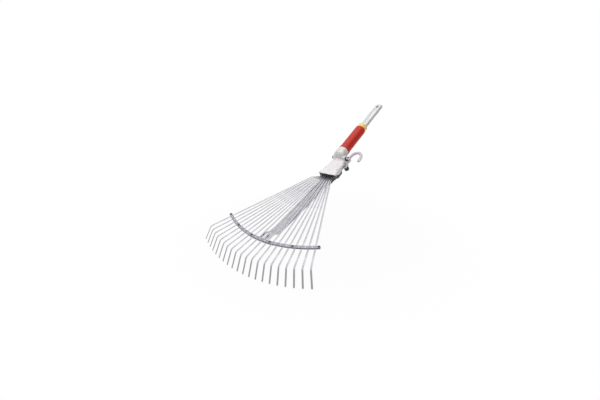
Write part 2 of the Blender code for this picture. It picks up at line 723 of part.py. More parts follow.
def build_spreader(fan):
    """Two curved strips, held apart by posts between the tines and riveted together."""
    half_angle = FAN_HALF_ANGLE + SPREADER_OVERHANG
    inner = SPREADER_RADIUS - SPREADER_STRIP / 2
    outer = SPREADER_RADIUS + SPREADER_STRIP / 2
    steps = 2 * TINE_COUNT
    outline = arc_points(outer, half_angle, steps) + list(reversed(arc_points(inner, half_angle, steps)))
    riveted = riveted_posts()
    holes = [circle(RIVET_RADIUS + GAP, 8, *on_arc(post_angle(index))) for index in riveted]
    pressed = [index for index in range(TINE_COUNT + 1) if index not in riveted]
    posts = [(circle(POST_RADIUS, 8, *on_arc(post_angle(index))), WINDOW_HALF_HEIGHT - GAP)
             for index in pressed]
    domes = [(circle(DOME_RADIUS, 8, *on_arc(post_angle(index))), UPPER_STRIP_TOP + DOME_HEIGHT)
             for index in pressed]
    lower = plate(outline, LOWER_STRIP_LOW, -WINDOW_HALF_HEIGHT, holes, posts)
    upper = plate(outline, WINDOW_HALF_HEIGHT, UPPER_STRIP_TOP, holes, domes)
    place("spreader_lower", mesh_from("spreader_lower", lower), STEEL_PLATE, fan)
    place("spreader_upper", mesh_from("spreader_upper", upper), STEEL_PLATE, fan)
    for count, index in enumerate(riveted):
        x, y = on_arc(post_angle(index))
        low = FOOT_LOW if abs(post_angle(index)) < FOOT_HALF_ANGLE else LOWER_STRIP_LOW
        shank = WINDOW_HALF_HEIGHT - GAP
        seat = low - GAP
        crown = UPPER_STRIP_TOP + GAP
        profile = [(0.0, seat - RIVET_HEAD_HEIGHT), (RIVET_HEAD_RADIUS * 0.6, seat - RIVET_HEAD_HEIGHT),
                   (RIVET_HEAD_RADIUS, seat), (RIVET_RADIUS, seat), (RIVET_RADIUS, -shank),
                   (POST_RADIUS, -shank), (POST_RADIUS, shank), (RIVET_RADIUS, shank), (RIVET_RADIUS, crown),
                   (RIVET_HEAD_RADIUS, crown), (RIVET_HEAD_RADIUS * 0.6, crown + RIVET_HEAD_HEIGHT),
                   (0.0, crown + RIVET_HEAD_HEIGHT)]
        name = "spreader_rivet_%d" % (count + 1)
        place(name, mesh_from(name, lathe(profile, 10, "Z")), DARK_STEEL, fan, (x, y, 0.0))


def plain_rivet(name, x, along, low, high, fan, surface=DARK_STEEL):
    """A round rivet with a head below and above what it holds."""
    radius = RIVET_RADIUS
    head = RIVET_HEAD_RADIUS
    profile = [(0.0, low - RIVET_HEAD_HEIGHT), (head * 0.6, low - RIVET_HEAD_HEIGHT), (head, low),
               (radius, low), (radius, high), (head, high), (head * 0.6, high + RIVET_HEAD_HEIGHT),
               (0.0, high + RIVET_HEAD_HEIGHT)]
    place(name, mesh_from(name, lathe(profile, 10, "Z")), surface, fan, (x, -along, 0.0))


def build_foot_rivets(fan):
    """Rivets of the strut and its foot."""
    low = STRUT_END_TOP - STRUT_SHEET - GAP
    for name, (x, along) in zip(("foot_rivet_left", "foot_rivet_right"), foot_rivet_places()):
        plain_rivet(name, x, along, low, FOOT_TOP + GAP, fan)


def hood_level(along):
    """Underside of the hood at its edge and at its ridge."""
    share = min(1.0, max(0.0, (HOLDER_REAR - along) / (HOLDER_REAR + JAW_FRONT)))
    edge = UPPER_PLATE_TOP + GAP + HOOD_REAR_EDGE * ease(share)
    corner = mouth_line(1.0)
    forward = min(1.0, max(0.0, (corner - along) / (corner + JAW_FRONT)))
    ridge = UPPER_PLATE_TOP + GAP + HOOD_MOUTH_RIDGE + (HOOD_REAR_RIDGE - HOOD_MOUTH_RIDGE) * forward
    return edge, max(ridge, edge + HOOD_SHEET)


def hood_flange_bottom(along):
    """Lower edge of the folded side, which is deepest at the rivets."""
    top = UPPER_PLATE_TOP + GAP
    if along < STACK_ROW:
        share = (along + JAW_FRONT) / (STACK_ROW + JAW_FRONT)
        return top + (HOOD_REAR_EDGE - HOOD_REAR_FLANGE) * (1.0 - share) - HOOD_EAR_DROP * share
    share = (along - STACK_ROW) / (mouth_line(1.0) - STACK_ROW)
    return top - HOOD_EAR_DROP + (HOOD_EAR_DROP - HOOD_MOUTH_FLANGE) * min(1.0, share)


def hood_section(along, bow=0.0):
    """Cross-section of the hood, outer surface then inner surface; bow sets its middle forward."""
    half = hood_half_width(along)
    edge, ridge = hood_level(along)
    bottom = min(edge - HOOD_SHOULDER, hood_flange_bottom(along))
    inner_half = half - HOOD_SHEET
    shoulder = HOOD_SHOULDER
    crown = 0.55
    outer = [(-half, bottom), (-half, edge - shoulder * 0.3), (-half + shoulder * 0.4, edge + HOOD_SHEET),
             (-half * 0.5, edge + (ridge - edge) * crown + HOOD_SHEET), (0.0, ridge + HOOD_SHEET),
             (half * 0.5, edge + (ridge - edge) * crown + HOOD_SHEET),
             (half - shoulder * 0.4, edge + HOOD_SHEET), (half, edge - shoulder * 0.3), (half, bottom)]
    inner = [(inner_half, bottom), (inner_half, edge - shoulder * 0.3), (inner_half, edge),
             (inner_half * 0.5, edge + (ridge - edge) * crown), (0.0, ridge),
             (-inner_half * 0.5, edge + (ridge - edge) * crown), (-inner_half, edge),
             (-inner_half, edge - shoulder * 0.3), (-inner_half, bottom)]
    return [(x, -along - bow * (1.0 - (x / half) ** 2), z) for x, z in outer + inner]


def hood_top(x, along):
    """Height of the hood's outer surface at a place beside its ridge."""
    points = [(point[0], point[2]) for point in hood_section(along)[4:9]]
    for (x0, z0), (x1, z1) in zip(points, points[1:]):
        if x0 <= x <= x1:
            return z0 + (z1 - z0) * (x - x0) / (x1 - x0)
    return points[-1][1]


def build_hood(fan):
    """Sheet hood over the holder, folded down at both sides and raised along its middle."""
    rear = -JAW_FRONT + GAP
    corner = mouth_line(1.0)
    stations = [rear, rear * 0.5, 0.0, HOLDER_REAR, STACK_ROW, (STACK_ROW + corner) / 2]
    sections = [hood_section(s) for s in stations] + [hood_section(corner + HOOD_SHEET, MOUTH_BOW)]
    bm = bmesh.new()
    rings = [[bm.verts.new(point) for point in section] for section in sections]
    for first, second in zip(rings, rings[1:]):
        wall(bm, first, second)
    for ring in (rings[0], rings[-1]):
        for k in range(len(ring) // 2 - 1):
            bm.faces.new((ring[k], ring[k + 1], ring[-k - 2], ring[-k - 1]))
    hood = place("hood", mesh_from("hood", bm), WHITE_SHEET, fan)
    rivet_x = holder_rivet_place()
    for name, x in (("cut_hood_left", -rivet_x), ("cut_hood_right", rivet_x)):
        loop = circle(RIVET_RADIUS + GAP, 8, x, -STACK_ROW)
        cutter = plate(loop, UPPER_PLATE_TOP - OVERCUT, UPPER_PLATE_TOP + HOOD_REAR_RIDGE)
        boolean(hood, place(name, mesh_from(name, cutter), None, fan), "DIFFERENCE")


def build_stack_fasteners(fan):
    """Middle bolt with its nut, and the two rivets that hold hood, holder and guide together."""
    top = UPPER_PLATE_TOP + GAP + FOOT_PLATE_SHEET + GAP
    nut_top = GUIDE_LOW - GAP
    end = nut_top - STACK_NUT_HEIGHT - STACK_BOLT_STAND
    profile = [(0.0, end), (STACK_BOLT_RADIUS, end), (STACK_BOLT_RADIUS, top), (STACK_HEAD_RADIUS, top),
               (STACK_HEAD_RADIUS, top + STACK_HEAD_HEIGHT * 0.5),
               (STACK_HEAD_RADIUS * 0.7, top + STACK_HEAD_HEIGHT), (0.0, top + STACK_HEAD_HEIGHT)]
    place("stack_bolt", mesh_from("stack_bolt", lathe(profile, 12, "Z")), DARK_STEEL, fan,
          (0.0, -STACK_ROW, 0.0))
    nut = plate(circle(STACK_NUT_RADIUS, 6), nut_top - STACK_NUT_HEIGHT, nut_top,
                [circle(STACK_BOLT_RADIUS + GAP, 12)])
    place("stack_nut", mesh_from("stack_nut", nut), DARK_STEEL, fan, (0.0, -STACK_ROW, 0.0))
    rivet_x = holder_rivet_place()
    reach = rivet_x - RIVET_HEAD_RADIUS
    head = max(hood_top(reach, STACK_ROW + RIVET_HEAD_RADIUS * side) for side in (-1, 0, 1)) + RUNNING_GAP
    for name, side in (("holder_rivet_left", -1), ("holder_rivet_right", 1)):
        plain_rivet(name, side * rivet_x, STACK_ROW, GUIDE_LOW - GAP, head, fan, WHITE_SHEET)


def rounded_bar(half_width, half_height, corner, along):
    """Cross-section of the plug, as points round the neck's axis."""
    points = []
    for quarter, (sx, sz) in enumerate(((1, 1), (-1, 1), (-1, -1), (1, -1))):
        for step in range(3):
            turn = quarter * math.pi / 2 + step * math.pi / 4
            points.append((sx * (half_width - corner) + corner * math.cos(turn), along,
                           sz * (half_height - corner) + corner * math.sin(turn)))
    return points


def ring_front():
    """Front face of the seat ring."""
    return SLEEVE_REAR + GAP


def ring_rear():
    """Rear face of the seat ring, on which the tongue's shoulder sits."""
    return ring_front() + RING_LENGTH


def build_plug(neck):
    """Cast plug: a shank inside the sleeve, and a grooved tongue with a pocket for the stud."""
    shank_corner = TONGUE_CORNER * 0.7
    start = ring_rear() + GAP
    nose_width = TONGUE_HALF_WIDTH - TONGUE_NOSE * 0.35
    nose_height = TONGUE_HALF_HEIGHT - TONGUE_NOSE * 0.35
    sections = [rounded_bar(SHANK_HALF_WIDTH, SHANK_HALF_HEIGHT, shank_corner, SHANK_FRONT),
                rounded_bar(SHANK_HALF_WIDTH, SHANK_HALF_HEIGHT, shank_corner, start),
                rounded_bar(TONGUE_HALF_WIDTH, TONGUE_HALF_HEIGHT, TONGUE_CORNER, start),
                rounded_bar(TONGUE_HALF_WIDTH, TONGUE_HALF_HEIGHT, TONGUE_CORNER, TONGUE_END - TONGUE_NOSE),
                rounded_bar(nose_width, nose_height, TONGUE_CORNER, TONGUE_END)]
    plug = place("plug", mesh_from("plug", loft(sections)), PLUG_METAL, neck)
    stud_place = TONGUE_END - STUD_FROM_END
    groove_rear = stud_place - 3 * STUD_RADIUS
    groove_front = start + TONGUE_NOSE
    for name, side in (("cut_groove_top", 1), ("cut_groove_bottom", -1)):
        level = side * TONGUE_HALF_HEIGHT
        low, high = sorted((level - side * TONGUE_GROOVE_DEPTH, level + side * OVERCUT))
        outline = []
        for middle, first in ((groove_front + TONGUE_GROOVE_HALF_WIDTH, math.pi),
                              (groove_rear - TONGUE_GROOVE_HALF_WIDTH, 0.0)):
            for step in range(5):
                turn = first + step * math.pi / 4
                outline.append((TONGUE_GROOVE_HALF_WIDTH * math.cos(turn),
                                middle + TONGUE_GROOVE_HALF_WIDTH * math.sin(turn)))
        boolean(plug, place(name, mesh_from(name, plate(outline, low, high)), None, neck), "DIFFERENCE")
    top = TONGUE_HALF_HEIGHT
    flange_level = top - STUD_FLANGE_SHEET - STUD_COVER
    pocket = [(0.0, top - POCKET_DEPTH), (STUD_FLANGE_RADIUS + RUNNING_GAP, top - POCKET_DEPTH),
              (STUD_FLANGE_RADIUS + RUNNING_GAP, flange_level + STUD_FLANGE_SHEET + GAP),
              (STUD_RADIUS + RUNNING_GAP, flange_level + STUD_FLANGE_SHEET + GAP),
              (STUD_RADIUS + RUNNING_GAP, top + OVERCUT), (0.0, top + OVERCUT)]
    boolean(plug, place("cut_pocket", mesh_from("cut_pocket", lathe(pocket, 16, "Z")), None, neck,
                        (0.0, stud_place, 0.0)), "DIFFERENCE")
    pin = round_pin(SHANK_PIN_RADIUS + GAP, SPIGOT_RADIUS + OVERCUT, "X")
    boolean(plug, place("cut_shank_pin", mesh_from("cut_shank_pin", pin), None, neck,
                        (0.0, SHANK_PIN_PLACE, 0.0)), "DIFFERENCE")


def build_stud(neck):
    """Snap stud that holds the plug in a handle, and the spring below it."""
    stud_place = TONGUE_END - STUD_FROM_END
    top = TONGUE_HALF_HEIGHT
    flange_low = top - STUD_FLANGE_SHEET - STUD_COVER
    flange_top = flange_low + STUD_FLANGE_SHEET
    profile = [(0.0, flange_low), (STUD_FLANGE_RADIUS, flange_low),
               (STUD_FLANGE_RADIUS, flange_top), (STUD_RADIUS, flange_top),
               (STUD_RADIUS, top + STUD_STAND * 0.55), (STUD_RADIUS * 0.8, top + STUD_STAND * 0.85),
               (STUD_RADIUS * 0.35, top + STUD_STAND), (0.0, top + STUD_STAND)]
    mesh = mesh_from("snap_stud", lathe(profile, 16, "Z"))
    place("snap_stud", mesh, DARK_STEEL, neck, (0.0, stud_place, 0.0))
    low = top - POCKET_DEPTH + GAP + SPRING_WIRE_RADIUS
    high = flange_low - GAP - SPRING_WIRE_RADIUS
    radius = STUD_RADIUS * 0.7
    curve = bpy.data.curves.new("snap_spring", "CURVE")
    curve.dimensions = "3D"
    curve.bevel_depth = SPRING_WIRE_RADIUS
    curve.bevel_resolution = 1
    curve.use_fill_caps = True
    spline = curve.splines.new("POLY")
    per_turn = 8
    count = SPRING_TURNS * per_turn + 1
    spline.points.add(count - 1)
    for k in range(count):
        turn = 2 * math.pi * k / per_turn
        level = low + (high - low) * k / (count - 1)
        spline.points[k].co = (radius * math.cos(turn), radius * math.sin(turn), level, 1.0)
    curve.materials.append(SPRING_STEEL)
    spring = bpy.data.objects.new("snap_spring", curve)
    bpy.context.scene.collection.objects.link(spring)
    spring.parent = neck
    spring.location = (0.0, stud_place, 0.0)


def build_sleeve(neck):
    """Red moulded sleeve over the neck's spigot and the plug's shank, with the seat ring on its end."""
    spigot_bore = SPIGOT_RADIUS + GAP
    shank_bore = math.hypot(SHANK_HALF_WIDTH, SHANK_HALF_HEIGHT) - TONGUE_CORNER * 0.25 + GAP
    step = SPIGOT_END + GAP
    rim = SLEEVE_RIM
    length = SLEEVE_REAR - SLEEVE_FRONT
    profile = [(SLEEVE_RADIUS - rim, SLEEVE_FRONT), (SLEEVE_RADIUS, SLEEVE_FRONT + rim),
               (SLEEVE_RADIUS, SLEEVE_FRONT + 0.06 * length),
               (SLEEVE_RADIUS - rim, SLEEVE_FRONT + 0.09 * length),
               (SLEEVE_WAIST_RADIUS, SLEEVE_FRONT + 0.35 * length),
               (SLEEVE_WAIST_RADIUS, SLEEVE_FRONT + 0.65 * length),
               (SLEEVE_RADIUS - rim, SLEEVE_FRONT + 0.92 * length), (SLEEVE_RADIUS - rim, SLEEVE_REAR - rim),
               (SLEEVE_RADIUS - 2 * rim, SLEEVE_REAR), (shank_bore, SLEEVE_REAR), (shank_bore, step),
               (spigot_bore, step), (spigot_bore, SLEEVE_FRONT)]
    place("grip_sleeve", mesh_from("grip_sleeve", lathe(profile, 28)), RED_PLASTIC, neck)
    front = ring_front()
    rear = ring_rear()
    ring = [(RING_RADIUS, front), (RING_RADIUS, rear - rim), (RING_RADIUS - rim, rear), (shank_bore, rear),
            (shank_bore, front)]
    place("seat_ring", mesh_from("seat_ring", lathe(ring, 28)), YELLOW_PLASTIC, neck)


def box(x_low, x_high, y_low, y_high, z_low, z_high):
    """A plain block."""
    return plate([(x_low, y_low), (x_high, y_low), (x_high, y_high), (x_low, y_high)], z_low, z_high)


def jaw_profile(side):
    """Front view of one clamp jaw with the lip under the strut, as (x, z) points."""
    top = BOLT_HEIGHT + CROSS_HEAD_RADIUS + JAW_CHAMFER
    chamfer = JAW_CHAMFER
    points = [(JAW_INSIDE, JAW_BRIDGE_LOW), (JAW_INSIDE, STRUT_LOW - GAP),
              (JAW_INSIDE - JAW_LIP, STRUT_LOW - GAP), (JAW_INSIDE - JAW_LIP, JAW_LOW),
              (JAW_OUTSIDE - chamfer, JAW_LOW), (JAW_OUTSIDE, JAW_LOW + chamfer), (JAW_OUTSIDE, top),
              (JAW_INSIDE - JAW_LIP, top + chamfer), (0.0, top + chamfer), (0.0, JAW_BRIDGE_LOW)]
    return [(side * x, z) for x, z in points]


def build_neck(fan, neck):
    """Cast neck: spigot, collar, split clamp jaws round the strut and the plate under the hood."""
    collar_end = SLEEVE_FRONT - GAP
    profile = [(0.0, COLLAR_FRONT), (COLLAR_NOSE_RADIUS, COLLAR_FRONT),
               (COLLAR_RADIUS, COLLAR_FRONT + COLLAR_NOSE),
               (COLLAR_RADIUS, collar_end - COLLAR_TAIL), (COLLAR_RADIUS - COLLAR_TAPER, collar_end),
               (SPIGOT_RADIUS, collar_end), (SPIGOT_RADIUS, SPIGOT_END), (0.0, SPIGOT_END)]
    body = place("neck_casting", mesh_from("neck_casting", lathe(profile, 28)), CAST_GREY, neck)
    jaws = []
    right = jaw_profile(1)
    left = jaw_profile(-1)
    outline = right[:-2] + list(reversed(left[:-2]))
    for y in (JAW_FRONT, JAW_REAR):
        jaws.append([(x, y, z) for x, z in outline])
    boolean(body, place("join_jaws", mesh_from("join_jaws", loft(jaws)), None, fan), "UNION")
    tongue = box(-FOOT_PLATE_HALF_WIDTH, FOOT_PLATE_HALF_WIDTH, -FOOT_PLATE_FRONT, JAW_FRONT + 2 * OVERCUT,
                 JAW_BRIDGE_LOW + BURIED, JAW_BRIDGE_LOW + BURIED + FOOT_PLATE_SHEET)
    boolean(body, place("join_plate", mesh_from("join_plate", tongue), None, fan), "UNION")
    socket = loft([rounded_bar(SHANK_HALF_WIDTH + GAP, SHANK_HALF_HEIGHT + GAP, TONGUE_CORNER * 0.7,
                               SHANK_FRONT - GAP),
                   rounded_bar(SHANK_HALF_WIDTH + GAP, SHANK_HALF_HEIGHT + GAP, TONGUE_CORNER * 0.7,
                               SPIGOT_END + OVERCUT)])
    boolean(body, place("cut_socket", mesh_from("cut_socket", socket), None, neck), "DIFFERENCE")
    slit = box(-JAW_SLIT / 2, JAW_SLIT / 2, JAW_FRONT + 2 * OVERCUT, JAW_REAR + OVERCUT,
               JAW_BRIDGE_LOW - OVERCUT, BOLT_HEIGHT + CROSS_BOLT_RADIUS + 2 * OVERCUT)
    boolean(body, place("cut_slit", mesh_from("cut_slit", slit), None, fan), "DIFFERENCE")
    hole = round_pin(CROSS_BOLT_RADIUS + GAP, JAW_OUTSIDE + OVERCUT, "X", 14)
    boolean(body, place("cut_cross_hole", mesh_from("cut_cross_hole", hole), None, fan,
                        (0.0, BOLT_ROW, BOLT_HEIGHT)), "DIFFERENCE")
    stack_hole = plate(circle(STACK_BOLT_RADIUS + GAP, 12, 0.0, -STACK_ROW), JAW_BRIDGE_LOW - OVERCUT,
                       JAW_BRIDGE_LOW + FOOT_PLATE_SHEET + OVERCUT)
    boolean(body, place("cut_stack_hole", mesh_from("cut_stack_hole", stack_hole), None, fan), "DIFFERENCE")
    pin_half = SPIGOT_RADIUS - 2 * GAP
    pin_hole = round_pin(SHANK_PIN_RADIUS + GAP, SPIGOT_RADIUS + OVERCUT, "X")
    boolean(body, place("cut_neck_pin", mesh_from("cut_neck_pin", pin_hole), None, neck,
                        (0.0, SHANK_PIN_PLACE, 0.0)), "DIFFERENCE")
    pin = round_pin(SHANK_PIN_RADIUS, pin_half, "X")
    place("shank_pin", mesh_from("shank_pin", pin), DARK_STEEL, neck, (0.0, SHANK_PIN_PLACE, 0.0))


def lever_pivot_x():
    """Where the cam lever's pin stands, to the right of the jaws."""
    return JAW_OUTSIDE + GAP + THRUST_PAD_SHEET + GAP + LEVER_HEAD_RADIUS


def ring_shape(name, outer, inner, start, length, surface, fan, sides=20):
    """A flat ring round the cross bolt."""
    profile = [(outer, start), (outer, start + length), (inner, start + length), (inner, start)]
    place(name, mesh_from(name, lathe(profile, sides, "X")), surface, fan, (0.0, BOLT_ROW, BOLT_HEIGHT))


def build_clamp(fan):
    """Cross bolt with its head on the left and the cam lever's pin on the right."""
    washer_start = -JAW_OUTSIDE - GAP - WASHER_SHEET
    head_start = washer_start - GAP
    ring_shape("clamp_washer", WASHER_RADIUS, CROSS_BOLT_RADIUS + GAP, washer_start, WASHER_SHEET,
               SPRING_STEEL, fan)
    ring_shape("thrust_pad", WASHER_RADIUS, CROSS_BOLT_RADIUS + GAP, JAW_OUTSIDE + GAP, THRUST_PAD_SHEET,
               BLACK_PLASTIC, fan)
    end = lever_pivot_x() + CROSS_BOLT_RADIUS
    head_end = head_start - CROSS_HEAD_HEIGHT
    profile = [(0.0, head_end), (CROSS_HEAD_RADIUS * 0.72, head_end),
               (CROSS_HEAD_RADIUS, head_start - CROSS_HEAD_HEIGHT * 0.6), (CROSS_HEAD_RADIUS, head_start),
               (CROSS_BOLT_RADIUS, head_start), (CROSS_BOLT_RADIUS, end - CROSS_BOLT_RADIUS * 0.3),
               (CROSS_BOLT_RADIUS * 0.7, end),
               (0.0, end)]
    bolt = place("clamp_bolt", mesh_from("clamp_bolt", lathe(profile, 16, "X")), DARK_STEEL, fan,
                 (0.0, BOLT_ROW, BOLT_HEIGHT))
    hole = round_pin(LEVER_PIN_RADIUS + GAP / 3, CROSS_BOLT_RADIUS + OVERCUT, "Z")
    boolean(bolt, place("cut_bolt_eye", mesh_from("cut_bolt_eye", hole), None, fan,
                        (lever_pivot_x(), BOLT_ROW, BOLT_HEIGHT)), "DIFFERENCE")


def lever_route():
    """Middle line of the lever's hooked arm from its pin, as (x, y, z) points."""
    shares = [(0.0, 0.0, 0.0), (-0.030, 0.442, 0.0), (0.061, 0.814, 0.0), (0.424, 1.0, 0.0),
              (0.818, 0.837, 0.143), (1.0, 0.465, 0.571), (0.970, 0.116, 1.0)]
    hand = [Vector((out * LEVER_BOW, along * LEVER_REACH, -down * LEVER_DROOP)) for out, along, down in shares]
    route = []
    for k in range(len(hand) - 1):
        before = hand[max(0, k - 1)]
        start = hand[k]
        end = hand[k + 1]
        after = hand[min(len(hand) - 1, k + 2)]
        for step in range(3):
            t = step / 3
            route.append(0.5 * ((2 * start) + (end - before) * t
                                + (2 * before - 5 * start + 4 * end - after) * t * t
                                + (3 * start - before - 3 * end + after) * t * t * t))
    route.append(hand[-1])
    return route


def build_lever(fan):
    """Hook-shaped cam lever: two ears round the bolt's end and one curved arm."""
    pivot = (lever_pivot_x(), BOLT_ROW, BOLT_HEIGHT)
    ear_top = CROSS_BOLT_RADIUS + RUNNING_GAP + LEVER_EAR
    head = round_pin(LEVER_HEAD_RADIUS, ear_top, "Z", 20)
    lever = place("cam_lever", mesh_from("cam_lever", head), LILAC_CASTING, fan, pivot)
    route = lever_route()
    sections = []
    for k, point in enumerate(route):
        share = k / (len(route) - 1)
        ahead = route[min(k + 1, len(route) - 1)]
        behind = route[max(k - 1, 0)]
        along = (ahead - behind).normalized()
        side = Vector((along.y, -along.x, 0.0)).normalized()
        half = LEVER_ARM_START_HALF_WIDTH + (LEVER_ARM_END_HALF_WIDTH - LEVER_ARM_START_HALF_WIDTH) * share
        half *= 0.62 if k == len(route) - 1 else 1.0
        rise = LEVER_THICKNESS / 2 * (1.0 - 0.35 * share)
        bevel = rise * 0.35
        across = (half - bevel, half, half, half - bevel, -half + bevel, -half, -half, -half + bevel)
        height = (-rise, -rise + bevel, rise - bevel, rise, rise, rise - bevel, -rise + bevel, -rise)
        sections.append([point + side * out + Vector((0.0, 0.0, up)) for out, up in zip(across, height)])
    arm_start = 1
    arm = mesh_from("join_arm", loft(sections[arm_start:]))
    boolean(lever, place("join_arm", arm, None, fan, pivot), "UNION")
    room_height = CROSS_BOLT_RADIUS + RUNNING_GAP
    wide = LEVER_HEAD_RADIUS + OVERCUT
    web = LEVER_WEB_RADIUS
    room = [(-wide, -wide), (wide * 0.35, -wide), (web * 0.9, -web * 0.7), (web, 0.0),
            (web * 0.75, web * 0.75), (0.0, web), (-wide, web)]
    cutter = mesh_from("cut_lever_room", plate(room, -room_height, room_height))
    boolean(lever, place("cut_lever_room", cutter, None, fan, pivot), "DIFFERENCE")
    hole = round_pin(LEVER_PIN_RADIUS + GAP / 3, ear_top + OVERCUT, "Z")
    boolean(lever, place("cut_lever_pin", mesh_from("cut_lever_pin", hole), None, fan, pivot), "DIFFERENCE")
    head_top = ear_top + GAP
    outer = LEVER_PIN_RADIUS * 1.6
    pin = [(0.0, -head_top - LEVER_PIN_HEAD), (outer, -head_top - LEVER_PIN_HEAD), (outer, -head_top),
           (LEVER_PIN_RADIUS, -head_top), (LEVER_PIN_RADIUS, head_top), (outer, head_top),
           (outer, head_top + LEVER_PIN_HEAD), (0.0, head_top + LEVER_PIN_HEAD)]
    place("lever_pin", mesh_from("lever_pin", lathe(pin, 12, "Z")), DARK_STEEL, fan, pivot)


def build_knob(fan):
    """Dark knob under the strut's rear end, by which the strut is pushed and pulled."""
    under = STRUT_LOW - GAP
    over = STRUT_TOP + GAP
    stem_end = under - KNOB_STEM
    foot = stem_end - KNOB_HEIGHT
    profile = [(0.0, foot), (KNOB_RADIUS * 0.55, foot), (KNOB_RADIUS * 0.9, foot + KNOB_HEIGHT * 0.12),
               (KNOB_RADIUS, foot + KNOB_HEIGHT * 0.35), (KNOB_RADIUS * 0.92, foot + KNOB_HEIGHT * 0.7),
               (KNOB_STEM_RADIUS * 1.25, stem_end), (KNOB_STEM_RADIUS, stem_end + KNOB_STEM * 0.25),
               (KNOB_STEM_RADIUS, under), (KNOB_NECK_RADIUS, under), (KNOB_NECK_RADIUS, over),
               (KNOB_STEM_RADIUS, over), (KNOB_STEM_RADIUS * 0.7, over + RIVET_HEAD_HEIGHT),
               (0.0, over + RIVET_HEAD_HEIGHT)]
    place("slide_knob", mesh_from("slide_knob", lathe(profile, 18, "Z")), BLACK_PLASTIC, fan,
          (0.0, KNOB_PLACE, 0.0))


def build():
    """Builds the head with the middle of the plug's end face at the world's origin."""
    end_in_fan = Vector((0.0, TONGUE_END * math.cos(NECK_TILT),
                         NECK_HEIGHT + TONGUE_END * math.sin(NECK_TILT)))
    fan = empty_frame("fan_frame", None, -(Matrix.Rotation(FAN_SLOPE, 3, "X") @ end_in_fan), FAN_SLOPE)
    neck = empty_frame("neck_frame", fan, (0.0, 0.0, NECK_HEIGHT), NECK_TILT)
    build_tines(fan)
    build_holder(fan)
    build_strut_guide(fan)
    build_strut(fan)
    build_foot(fan)
    build_foot_rivets(fan)
    build_spreader(fan)
    build_hood(fan)
    build_stack_fasteners(fan)
    build_neck(fan, neck)
    build_plug(neck)
    build_stud(neck)
    build_sleeve(neck)
    build_clamp(fan)
    build_lever(fan)
    build_knob(fan)


build()
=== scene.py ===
# Adjustable fan rake head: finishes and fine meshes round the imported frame.
import json
import math
import bmesh
import bpy
from mathutils import Matrix, Vector


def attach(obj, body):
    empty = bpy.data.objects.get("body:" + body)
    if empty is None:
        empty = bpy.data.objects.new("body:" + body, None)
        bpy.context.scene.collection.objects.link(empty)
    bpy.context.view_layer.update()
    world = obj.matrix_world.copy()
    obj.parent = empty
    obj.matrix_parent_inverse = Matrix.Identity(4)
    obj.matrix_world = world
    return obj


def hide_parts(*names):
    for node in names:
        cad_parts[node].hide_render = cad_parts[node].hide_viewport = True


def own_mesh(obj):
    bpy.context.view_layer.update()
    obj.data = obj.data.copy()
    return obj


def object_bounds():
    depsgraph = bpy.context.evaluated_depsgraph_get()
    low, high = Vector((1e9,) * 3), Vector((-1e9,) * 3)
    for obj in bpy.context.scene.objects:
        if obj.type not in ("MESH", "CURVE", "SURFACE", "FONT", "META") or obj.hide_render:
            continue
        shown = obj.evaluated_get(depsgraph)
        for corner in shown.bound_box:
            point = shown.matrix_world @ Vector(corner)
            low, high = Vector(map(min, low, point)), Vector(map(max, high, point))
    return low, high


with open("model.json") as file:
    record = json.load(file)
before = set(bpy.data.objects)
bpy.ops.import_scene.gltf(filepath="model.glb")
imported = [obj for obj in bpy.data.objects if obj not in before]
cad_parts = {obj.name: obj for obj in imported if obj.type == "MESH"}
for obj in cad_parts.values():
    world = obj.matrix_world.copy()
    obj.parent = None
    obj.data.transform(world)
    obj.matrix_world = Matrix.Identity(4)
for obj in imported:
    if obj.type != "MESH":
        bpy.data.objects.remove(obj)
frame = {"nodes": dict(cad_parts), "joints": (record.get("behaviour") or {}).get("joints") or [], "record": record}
cadLow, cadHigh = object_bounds()
nodes = frame["nodes"]
joints = {joint["name"]: joint for joint in frame["joints"]}
mm = 0.001
print("frame loaded with", len(nodes), "nodes")


def linearRgb(hexText):
    parts = [int(hexText[k:k + 2], 16) / 255 for k in (1, 3, 5)]
    return [c / 12.92 if c <= 0.04045 else ((c + 0.055) / 1.055) ** 2.4 for c in parts] + [1.0]


def addNode(tree, kind, settings=None, links=None):  # a colour is given as its hex text
    node = tree.nodes.new(kind)
    for key, value in (settings or {}).items():
        if isinstance(key, str) and hasattr(node, key):
            setattr(node, key, value)
        else:  # a socket, by its name, or by its number where names repeat
            node.inputs[key].default_value = linearRgb(value) if isinstance(value, str) else value
    for key, source in (links or {}).items():
        tree.links.new(source, node.inputs[key])
    return node


def startMaterial(name, look):
    made = bpy.data.materials.new(name)
    made.use_nodes = True
    tree = made.node_tree
    shader = tree.nodes["Principled BSDF"]
    shader.inputs["Base Color"].default_value = linearRgb(look["colour"])
    shader.inputs["Roughness"].default_value = look["roughness"]
    shader.inputs["Metallic"].default_value = look["metallic"]
    return made, tree, shader


def perMm(size):  # pattern scale for a feature of that size in millimetres
    return 1 / (size * mm)


def localPlace(tree, stretch=(1, 1, 1)):  # the piece's own coordinates, squeezed along an axis
    own = addNode(tree, "ShaderNodeAttribute", {"attribute_name": "ownPlace"})
    return addNode(tree, "ShaderNodeMapping", {"Scale": stretch},
                   {"Vector": own.outputs["Vector"]}).outputs[0]


noiseSpan = (0.32, 0.68)  # nearly all of a noise lies between these


def drift(tree, vector, size, low, high, detail=3.0):  # wanders over patches of a size in mm
    noise = addNode(tree, "ShaderNodeTexNoise", {"Scale": perMm(size), "Detail": detail},
                    {"Vector": vector})
    return addNode(tree, "ShaderNodeMapRange",
                   {"From Min": noiseSpan[0], "From Max": noiseSpan[1], "To Min": low, "To Max": high},
                   {"Value": noise.outputs[0]}).outputs[0]


